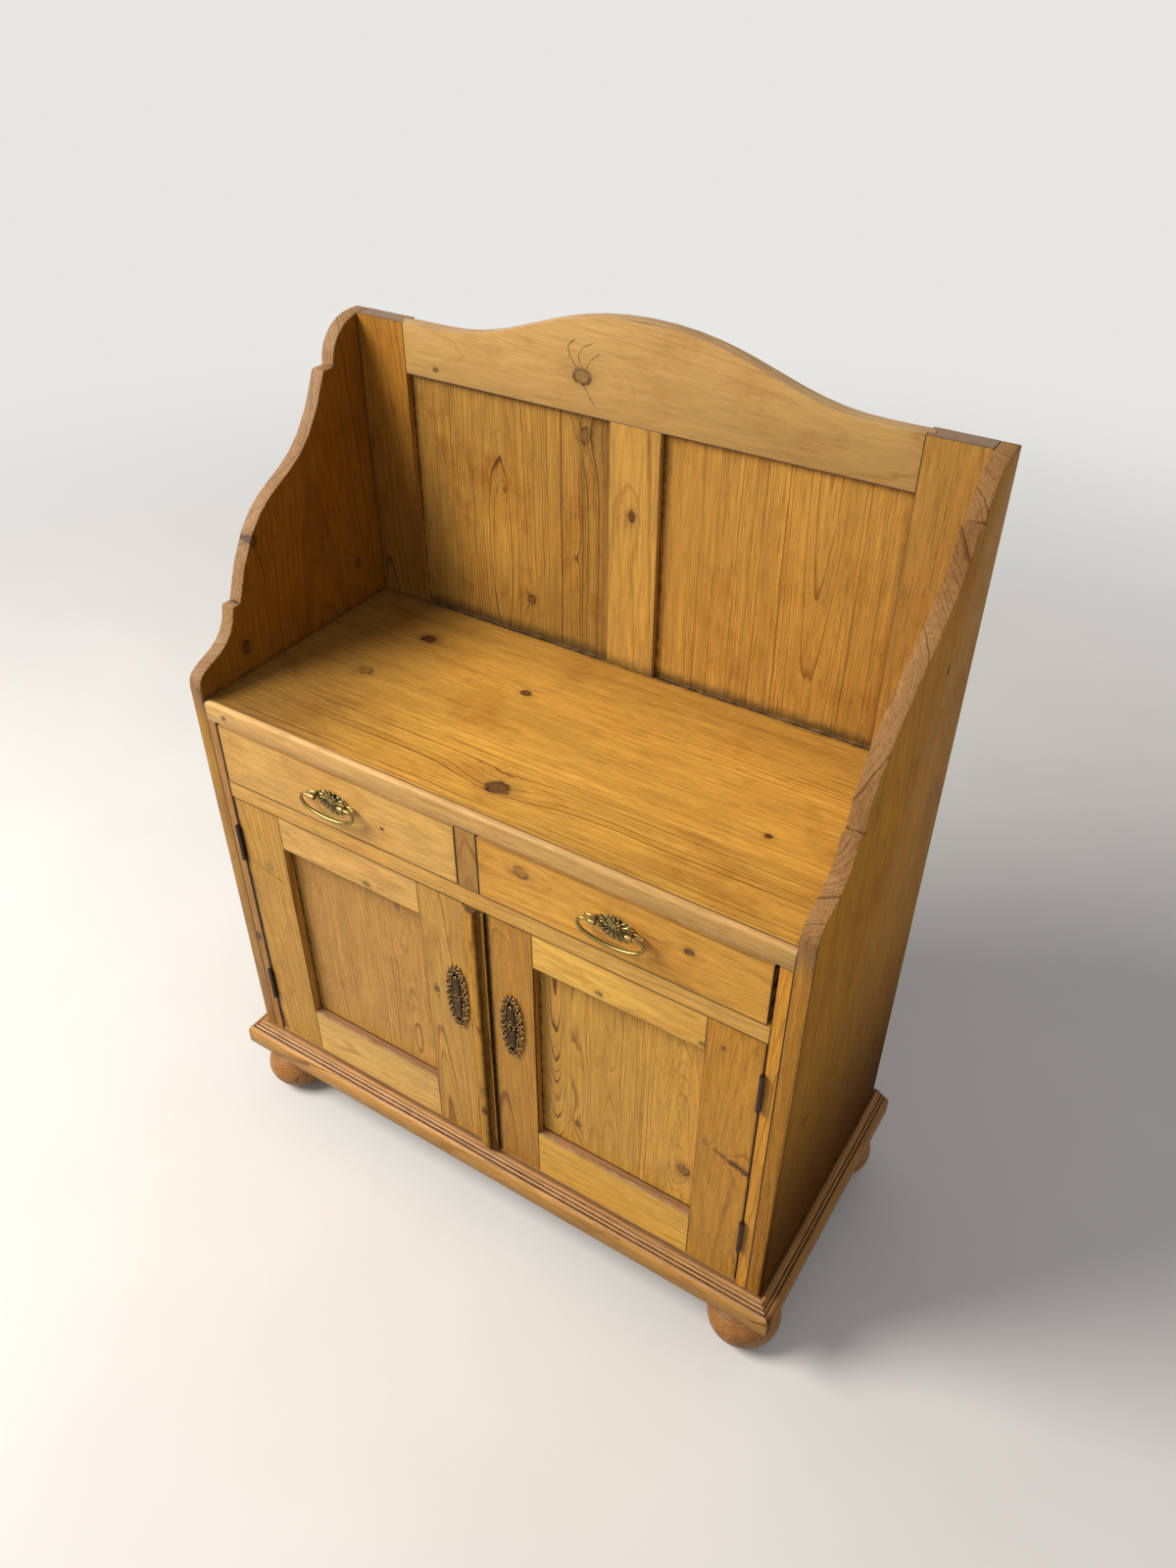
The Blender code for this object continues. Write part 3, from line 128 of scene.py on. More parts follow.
def makePineGroup():
    # Slow-grown pine cut as a solid: rings round a pith line that lies off the board, so the same wood shows
    # as straight lines, as nested arches or as end grain, whichever way a face cuts it.
    # The point is in metres, in the board's own directions: x across the face, y out of it, z along grain.
    tree = bpy.data.node_groups.new("solid pine", "ShaderNodeTree")
    add = partial(addNode, tree)
    for kind, names in pineSockets.items():
        for name in names:
            tree.interface.new_socket(name, in_out="INPUT", socket_type="NodeSocket" + kind)
    for name, kind in (("Colour", "Color"), ("Roughness", "Float"), ("Height", "Float")):
        tree.interface.new_socket(name, in_out="OUTPUT", socket_type="NodeSocket" + kind)
    given = tree.nodes.new("NodeGroupInput").outputs
    result = tree.nodes.new("NodeGroupOutput").inputs

    def streaky(point, alongGrain, scale, detail, roughness):
        # noise drawn out along the grain
        drawn = add("VectorMath", "MULTIPLY", point, (1.0, 1.0, alongGrain))
        return add("TexNoise", Vector=drawn, Scale=scale, Detail=detail, Roughness=roughness)

    # the trunk wanders a little along its length
    seedShift = add("VectorMath", "MULTIPLY", given["seed"], (7.3, 3.1, 5.7))
    place = add("VectorMath", "ADD", given["point"], seedShift)
    wave = streaky(place, 0.22, 9.0, 1.0, 0.4)
    waveOff = add("VectorMath", "SUBTRACT", wave.outputs["Color"], (0.5, 0.5, 0.5))
    waveBy = add("VectorMath", "SCALE", waveOff, Scale=given["wander"])
    bent = add("VectorMath", "ADD", given["point"], waveBy)
    part = add("SeparateXYZ", bent).outputs

    # distance to the pith, which leans by the taper
    across = add("Math", "SUBTRACT", part[0], given["pithAcross"])
    deep = add("Math", "ADD", part[1], given["pithDepth"])
    lean = add("Math", "MULTIPLY_ADD", part[2], given["taper"], deep)
    flat = add("CombineXYZ", across, lean)
    radius = add("VectorMath", "LENGTH", flat)
    quiver = streaky(place, 0.14, 60.0, 2.0, 0.5)
    shaken = add("Math", "MULTIPLY_ADD", quiver, 0.005, radius)
    pulled = add("Math", "SUBTRACT", shaken, given["ringPull"])
    rings = add("Math", "DIVIDE", pulled, given["ringWidth"])
    # good and lean years
    years = add("TexNoise", noise_dimensions="1D", W=rings, Scale=0.33, Detail=1.0)
    uneven = add("Math", "MULTIPLY_ADD", years, 3.0, rings)
    count = add("Math", "ADD", uneven, given["seed"])
    phase = add("Math", "FRACT", count)
    year = add("Math", "FLOOR", count)
    yearTone = add("TexWhiteNoise", noise_dimensions="1D", W=year)
    # each ring darkens slowly to its late wood, then stops at once
    rise = add("MapRange", phase, 0.62, 0.93, **smooth)
    fall = add("MapRange", phase, 0.92, 1.0, 1.0, 0.0, **smooth)
    band = add("Math", "MULTIPLY", rise, fall)
    strong = add("MapRange", yearTone, 0.0, 1.0, 0.25, 1.25)
    late = add("Math", "MULTIPLY", band, strong)

    # fibres are 0.05 mm in real pine; bundles of them are drawn here, 1 to 2 mm wide, so that they show
    fibre = streaky(bent, 0.035, 620.0, 3.0, 0.7)
    streak = streaky(place, 0.06, 170.0, 3.0, 0.6)
    cloud = streaky(place, 0.22, 11.0, 3.0, 0.55)
    spot = add("TexNoise", Vector=place, Scale=60.0, Detail=4.0, Roughness=0.7)

    # the lines come and go along a board
    fade = add("MapRange", cloud, 0.35, 0.62, 0.45, 1.25)
    ringDark = add("Math", "MULTIPLY", late, given["ringStrength"])
    ringMix = add("Math", "MULTIPLY", ringDark, fade, use_clamp=True)
    wood = add("Mix", ringMix, **inColour, A=given["early"], B=given["late"])
    fibreTone = add("MapRange", fibre, 0.32, 0.68, 0.80, 1.16)
    streakTone = add("MapRange", streak, 0.3, 0.7, 0.84, 1.13)
    cloudOff = add("Math", "SUBTRACT", cloud, 0.5)
    cloudTone = add("Math", "MULTIPLY_ADD", cloudOff, given["mottle"], given["tone"])
    # short dark dashes of resin, 1 mm by 15 mm
    dash = streaky(bent, 0.07, 430.0, 1.0, 0.5)
    dashTone = add("MapRange", dash, 0.58, 0.68, 1.0, 0.80)
    fibreDash = add("Math", "MULTIPLY", fibreTone, dashTone)
    fineTone = add("Math", "MULTIPLY", fibreDash, streakTone)
    streaked = add("Mix", given["streaks"], A=1.0, B=fineTone)
    fullTone = add("Math", "MULTIPLY", streaked, cloudTone)
    # sawn edges have no wax left: rougher and greyer, with the rings standing out
    edgeRing = add("Math", "MULTIPLY_ADD", late, -0.62, 1.05)
    edgeLine = add("VectorMath", "SCALE", given["edgeWood"], Scale=edgeRing)
    edged = add("Mix", given["edgeFace"], **inColour, A=wood, B=edgeLine)
    plain = add("VectorMath", "SCALE", edged, Scale=fullTone)
    # years of hands and dusters leave browner, redder clouds in the wax
    smoky = streaky(place, 0.7, 10.0, 6.0, 0.7)
    smoke = add("MapRange", smoky, 0.47, 0.72, **smooth)
    smokeBy = add("Math", "MULTIPLY", smoke, given["mottle"], use_clamp=True)
    toned = add("Mix", smokeBy, **inColour, blend_type="MULTIPLY", A=plain, B=srgb("#D8C2A4"))

    # how near an arris is: the middle one of the three distances to the board's faces
    out = add("VectorMath", "ABSOLUTE", given["point"])
    left = add("VectorMath", "SUBTRACT", given["halfSize"], out)
    gap = add("SeparateXYZ", left).outputs
    lowTwo = add("Math", "MINIMUM", gap[0], gap[1])
    highTwo = add("Math", "MAXIMUM", gap[0], gap[1])
    cap = add("Math", "MINIMUM", highTwo, gap[2])
    arris = add("Math", "MAXIMUM", lowTwo, cap)
    ragged = add("Math", "MULTIPLY_ADD", spot, 0.006, -0.003)
    arrisRag = add("Math", "ADD", arris, ragged)
    rub = add("MapRange", arrisRag, 0.0, 0.0032, 1.0, 0.0, **smooth)
    rubBy = add("Math", "MULTIPLY", rub, given["wear"], use_clamp=True)
    worn = add("Mix", rubBy, **inColour, A=toned, B=given["worn"])
    shade = add("MapRange", arrisRag, 0.0, 0.020, 1.0, 0.0, **smooth)
    # the board's grime and painted shade are added to the darkening near the arrises
    shadeWide = add("Math", "MULTIPLY_ADD", shade, given["edgeGrime"], given["grime"], use_clamp=True)
    # a dark line lies in the joint between two flush pieces
    jointNear = add("MapRange", arris, 0.0004, 0.0017, 1.0, 0.0)
    jointDark = add("Math", "MULTIPLY", jointNear, given["joint"])
    shadeBy = add("Math", "MAXIMUM", shadeWide, jointDark)

    # knots are brown hearts with a darker bark rim; grime and painted shade turn to the board's dark colour,
    # nearly black-brown unless a board gives another
    hearted = add("Mix", given["knot"], **inColour, A=worn, B=srgb("#563219"))
    rimmed = add("Mix", given["knotRim"], **inColour, A=hearted, B=srgb("#2C170B"))
    grimedAndShaded = add("Mix", shadeBy, **inColour, A=rimmed, B=given["dirtAndShadeColour"])
    # worm holes and specks of old finish, 1 to 2 mm
    speckNet = add("TexVoronoi", Vector=place, Scale=42.0, Randomness=1.0)
    speckSize = add("MapRange", speckNet.outputs["Distance"], 0.02, 0.05, 1.0, 0.0)
    chance = add("SeparateColor", speckNet.outputs["Color"])
    rare = add("Math", "GREATER_THAN", chance, 0.78)
    speck = add("Math", "MULTIPLY", speckSize, rare)
    speckBy = add("Math", "MULTIPLY", speck, 0.75)
    specked = add("Mix", speckBy, **inColour, A=grimedAndShaded, B=srgb("#3A2411"))

    roughBase = add("MapRange", spot, 0.3, 0.7, 0.36, 0.54)
    roughWorn = add("Math", "MULTIPLY_ADD", rubBy, 0.15, roughBase)
    roughGrimeAndShade = add("Math", "MULTIPLY_ADD", shadeBy, 0.25, roughWorn)
    roughEdge = add("Math", "MULTIPLY_ADD", given["edgeFace"], 0.18, roughGrimeAndShade)
    fibreHigh = add("Math", "MULTIPLY", fibre, 0.35)
    ringHigh = add("Math", "MULTIPLY_ADD", late, 0.30, fibreHigh)
    spotHigh = add("Math", "MULTIPLY_ADD", spot, 0.5, ringHigh)
    speckHigh = add("Math", "MULTIPLY_ADD", speck, -1.2, spotHigh)
    for socket, source in zip(result, (specked, roughEdge, speckHigh)):
        tree.links.new(usable(source.outputs), socket)
    return tree


pineGroup = makePineGroup()
# waxed pine that has gone honey with age; lengths are in mm
pineFinish = dict(
    early="#D09C4E", late="#A86A2A", worn="#C9A27C", wear=0.12, pith=(0, 60), ringWidth=6.5, ringStrength=0.8,
    taper=0.03, wander=14, mottle=0.35, streaks=1.0, tone=1.0, joint=0.75, bump=0.25, gloss=0.28, inside=None,
    edgeFace=0.0, endsOnly=False, edgeFrom=None, edgeLow=0.0, edgeWood="#A98460", edgeGrime=0.06, seams=(),
    bold=(), swells=(), knots=(), spikes=(), cracks=(), dirtAndShadeColour="#2E1B0C", dirtAndShadeSide=None, grime=())


def wayOf(side):
    # "-y" becomes the direction of minus y
    way = Vector([float(axis == side[-1]) for axis in "xyz"])
    return -way if side[0] == "-" else way


def bellAt(add, point, middle, wide, tall):
    # 1 at the middle, fading to nothing a little past its half width and half length
    off = add("VectorMath", "SUBTRACT", point, middle)
    far = add("VectorMath", "MULTIPLY", off, (1 / (wide * mm), 0.0, 1 / (tall * mm)))
    square = add("VectorMath", "DOT_PRODUCT", far, far)
    fading = add("Math", "MULTIPLY", square, -1.0)
    return add("Math", "EXPONENT", fading)


def missOf(add, point, start, end):
    # how far a point lies from the line between two places
    run = (end - start).normalized()
    off = add("VectorMath", "SUBTRACT", point, start)
    alongBy = add("VectorMath", "DOT_PRODUCT", off, run)
    held = add("Math", "MAXIMUM", alongBy, 0.0)
    stop = add("Math", "MINIMUM", held, (end - start).length)
    foot = add("VectorMath", "SCALE", run, Scale=stop)
    return add("VectorMath", "DISTANCE", off, foot)


def awayFrom(add, socket, where):
    side = add("Math", "SUBTRACT", socket, where * mm)
    return add("Math", "ABSOLUTE", side)


def makePine(name, box, grain, face, seed, **changes):
    look = {**pineFinish, **changes}
    # the board's own directions: x across the face, y out of it, z along the grain
    along, out = wayOf(grain), wayOf(face)
    across = out.cross(along)
    turn = Matrix((across, out, along)).transposed()
    middle, half = (box[0] + box[1]) / 2, (box[1] - box[0]) / 2
    halfOwn = Vector([abs(axis.dot(half)) for axis in (across, out, along)])

    def ownPlace(spot):
        # two numbers are a place on the board's face, three a place in the room
        spot = list(spot)
        if len(spot) == 2:
            flat = "xyz".index(face[-1])
            spot.insert(flat, box[face[0] != "-"][flat] / mm)
        return turn.transposed() @ (Vector(spot) * mm - middle)

    material, add = startMaterial(name)
    spots = add("TexCoord").outputs["Object"]
    own = add("Mapping", vector_type="TEXTURE", Vector=spots, Location=middle, Rotation=turn.to_euler())
    worldPart = add("SeparateXYZ", spots).outputs
    jitterPlace = add("TexNoise", Vector=spots, Scale=70.0, Detail=3.0)
    jitter = add("VectorMath", "SUBTRACT", jitterPlace.outputs["Color"], (0.5, 0.5, 0.5))
    pull = heart = rim = grime = 0.0
    # knots: (place, radius, how dark); the rings part round each one
    for *spot, size, dark in look["knots"]:
        size *= mm
        rough = add("VectorMath", "MULTIPLY_ADD", jitter, (size * 0.9,) * 3, own)
        off = add("VectorMath", "SUBTRACT", rough, ownPlace(spot))
        far = add("VectorMath", "MULTIPLY", off, (1 / size, 0.25 / size, 0.75 / size))
        reach = add("VectorMath", "LENGTH", far)
        swirlPlace = add("VectorMath", "MULTIPLY", far, (0.42, 0.42, 0.22))
        swirlReach = add("VectorMath", "DOT_PRODUCT", swirlPlace, swirlPlace)
        swirlFade = add("Math", "MULTIPLY", swirlReach, -1.0)
        swirl = add("Math", "EXPONENT", swirlFade)
        pull = add("Math", "MULTIPLY_ADD", swirl, size * 1.7, pull)
        halo = add("MapRange", reach, 0.9, 2.8, dark * 0.35, 0.0, **smooth)
        growth = add("Math", "PINGPONG", reach, 0.14)
        grown = add("MapRange", growth, 0.0, 0.14, dark * 0.95, dark * 1.3)
        whole = add("MapRange", reach, 0.85, 1.2, 1.0, 0.0, **smooth)
        heartOnly = add("Math", "MULTIPLY", grown, whole)
        core = add("Math", "MAXIMUM", heartOnly, halo)
        inner = add("MapRange", reach, 0.62, 0.92, 0.0, 1.0, **smooth)
        outer = add("MapRange", reach, 1.0, 1.35, dark * 0.6 + 0.3, 0.0, **smooth)
        rimWhole = add("Math", "MULTIPLY", inner, outer)
        broken = add("MapRange", jitterPlace, 0.38, 0.58, 0.1, 1.2, **smooth)
        ringed = add("Math", "MULTIPLY", rimWhole, broken)
        heart = add("Math", "MAXIMUM", core, heart)
        rim = add("Math", "MAXIMUM", ringed, rim)
    # spikes: (radius, how dark, from, to), branches that were sawn along
    for size, dark, start, end in look["spikes"]:
        size *= mm
        rough = add("VectorMath", "MULTIPLY_ADD", jitter, (size * 2.2,) * 3, own)
        miss = missOf(add, rough, ownPlace(start), ownPlace(end))
        branch = add("MapRange", miss, size * 0.5, size * 1.9, dark, 0.0, **smooth)
        bark = add("MapRange", miss, size * 0.1, size * 1.1, dark * 0.8, 0.0, **smooth)
        parting = add("MapRange", miss, 0.0, size * 6, size * 1.8, 0.0, **smooth)
        pull = add("Math", "ADD", parting, pull)
        heart = add("Math", "MAXIMUM", branch, heart)
        rim = add("Math", "MAXIMUM", bark, rim)
    # swells: (place, half width, half length, how far the rings bulge), seen as nested loops in the grain
    for *spot, wide, tall, bulge in look["swells"]:
        swell = bellAt(add, own, ownPlace(spot), wide, tall)
        pull = add("Math", "MULTIPLY_ADD", swell, bulge * mm, pull)
    # bold: (place, half width, half length, gain), where the late wood is darker than elsewhere
    ringStrength = look["ringStrength"]
    for *spot, wide, tall, gain in look["bold"]:
        loud = bellAt(add, own, ownPlace(spot), wide, tall)
        ringStrength = add("Math", "MULTIPLY_ADD", loud, gain, ringStrength)
    # cracks: (half width, how dark, places they run through); they close up here and there
    for width, dark, *stops in look["cracks"]:
        width *= mm
        for start, end in zip(stops, stops[1:]):
            rough = add("VectorMath", "MULTIPLY_ADD", jitter, (width * 6,) * 3, own)
            miss = missOf(add, rough, ownPlace(start), ownPlace(end))
            line = add("MapRange", miss, width * 0.5, width * 1.6, dark, 0.0)
            closed = add("MapRange", jitterPlace, 0.36, 0.5, 0.45, 1.0)
            gape = add("Math", "MULTIPLY", line, closed)
            grime = add("Math", "MAXIMUM", gape, grime)
    # each row (axis, where, reach, strength) darkens along a line: dirt where another piece meets this one,
    # and painted shade or painted shadow where a neighbouring piece keeps the light off; the wide rows reach
    # far
    gathered = 0.0
    for axis, where, reach, strength in look["grime"]:
        near = awayFrom(add, worldPart["xyz".index(axis)], where)
        ragged = min(reach * 1.4, 17) if reach > 8 else reach * 0.6
        blur = add("Math", "MULTIPLY_ADD", jitterPlace, ragged * mm, near)
        edge = add("MapRange", blur, reach * 0.3 * mm, reach * 1.6 * mm, strength, 0.0, **smooth)
        gathered = add("Math", "MAXIMUM", edge, gathered)
    if look["dirtAndShadeSide"]:
        # the grime and painted shade lie only on the face at this place, not through to the back of the board
        axis, where = look["dirtAndShadeSide"]
        near = awayFrom(add, worldPart["xyz".index(axis)], where)
        here = add("MapRange", near, 2 * mm, 5 * mm, 1.0, 0.0)
        gathered = add("Math", "MULTIPLY", here, gathered)
    if look["grime"]:
        grime = add("Math", "MAXIMUM", gathered, grime)
    # seams: where a wide piece is glued up from several boards, each with its own rings and tone
    seedAll, acrossAll, toneAll = seed * 0.37, look["pith"][0] * mm, look["tone"]
    if look["seams"]:
        ownAcross = add("SeparateXYZ", own).outputs[0]
        board = 0.0
        for seam in look["seams"]:
            step = add("Math", "GREATER_THAN", ownAcross, seam * mm)
            board = add("Math", "ADD", step, board)
            gapLine = add("MapRange", awayFrom(add, ownAcross, seam), 0.1 * mm, 0.9 * mm, 0.35, 0.0)
            grime = add("Math", "MAXIMUM", gapLine, grime)
        seedAll = add("Math", "MULTIPLY_ADD", board, 1.7, seedAll)
        acrossAll = add("Math", "MULTIPLY_ADD", board, look["seamShift"] * mm, acrossAll)
        toneNoise = add("TexWhiteNoise", noise_dimensions="1D", W=seedAll)
        toneAll = add("MapRange", toneNoise, 0.0, 1.0, look["tone"] * 0.93, look["tone"] * 1.07)
    edgeFace = 0.0
    if look["edgeFace"]:
        # all round the board, or only where the grain ends
        around, atEnds = (0.0, look["edgeFace"]) if look["endsOnly"] else (look["edgeFace"], 0.0)
        edgeWay = along if look["endsOnly"] else out
        facing = add("VectorMath", "DOT_PRODUCT", add("TexCoord").outputs["Normal"], edgeWay)
        turned = add("Math", "ABSOLUTE", facing)
        edgeFace = add("MapRange", turned, 0.55, 0.85, around, atEnds, **smooth)
        if look["edgeFrom"]:
            level = look["edgeFrom"] * mm
            high = add("MapRange", worldPart[2], level - 60 * mm, level, look["edgeLow"], **smooth)
            edgeFace = add("Math", "MULTIPLY", edgeFace, high)
    early, late = srgb(look["early"]), srgb(look["late"])
    if look["inside"]:
        # the side turned one way has another colour than the rest: aged and dusty wood on most boards,
        # painted shade on the side planks' inner faces, wear with a painted highlight on the plinth's top
        side, insideEarly, insideLate = look["inside"]
        inner = add("VectorMath", "DOT_PRODUCT", add("TexCoord").outputs["Normal"], wayOf(side))
        turnedIn = add("MapRange", inner, 0.5, 0.9, **smooth)
        early = add("Mix", turnedIn, **inColour, A=early, B=srgb(insideEarly))
        late = add("Mix", turnedIn, **inColour, A=late, B=srgb(insideLate))
    wood = add(
        "Group", node_tree=pineGroup, point=own, halfSize=halfOwn, early=early, late=late, ringPull=pull,
        pithAcross=acrossAll, pithDepth=look["pith"][1] * mm, ringWidth=look["ringWidth"] * mm,
        wander=look["wander"] * mm, ringStrength=ringStrength, seed=seedAll, tone=toneAll, knot=heart,
        knotRim=rim, grime=grime, edgeFace=edgeFace,
        **{key: srgb(look[key]) for key in ("worn", "edgeWood", "dirtAndShadeColour")},
        **{key: look[key] for key in ("taper", "mottle", "wear", "edgeGrime", "joint", "streaks")}).outputs
    bump = add("Bump", Height=wood["Height"], Strength=look["bump"], Distance=0.6 * mm)
    surface = add("BsdfPrincipled", Roughness=wood["Roughness"], Normal=bump, IOR=1.5,
                  **{"Base Color": wood["Colour"], "Specular IOR Level": look["gloss"]})
    add("OutputMaterial", Surface=surface)
    return material


def easeArrises(piece, width=0.6 * mm):
    weld = piece.modifiers.new("weld", "WELD")
    weld.merge_threshold = 0.01 * mm
    flatten = piece.modifiers.new("flatten", "DECIMATE")
    flatten.decimate_type = "DISSOLVE"
    flatten.angle_limit = math.radians(0.4)
    addEase(piece, width, 2, 32)


def addEase(piece, width, segments, angle):
    ease = piece.modifiers.new("ease", "BEVEL")
    ease.width = width
    ease.segments = segments
    ease.limit_method = "ANGLE"
    ease.angle_limit = math.radians(angle)


def smoothCopy(nodeName, width=1.0 * mm, angle=28):
    # a piece of the same shape whose curved edges are smooth
    copy = nodes[nodeName].copy()
    copy.data = nodes[nodeName].data.copy()
    copy.name = nodeName + "_finished"
    for key in list(copy.keys()):
        del copy[key]
    copy.parent = None
    bpy.context.scene.collection.objects.link(copy)
    editAll(copy)
    bpy.ops.mesh.remove_doubles(threshold=0.01 * mm)
    bpy.ops.mesh.dissolve_limited(angle_limit=math.radians(0.4))
    toObjectMode()
    if width:
        addEase(copy, width, 3, angle)
        bpy.ops.object.modifier_apply(modifier="ease")
    bpy.ops.object.shade_smooth_by_angle(angle=math.radians(angle))
    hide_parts(nodeName)
    return copy


bodyOf = {node: body for body, members in frame["record"]["behaviour"]["bodies"].items() for node in members}

frameWood = dict(early="#D8A248", late="#955C20", ringWidth=7, taper=0.06, mottle=0.5)
panelWood = dict(early="#CE993F", late="#8A5620", ringStrength=0.85, ringWidth=5, mottle=0.6)
railWood = dict(early="#DCAA54", late="#A86E2C", ringStrength=0.6, ringWidth=8, taper=0.05, mottle=0.5)
insideWood = dict(early="#CDA873", late="#A98052", ringStrength=0.5, mottle=0.5, bump=0.35, joint=0.4)
mouldWood = dict(early="#B47E38", late="#744620", worn="#C09468", wear=0.5, edgeGrime=0.15, joint=0.4)

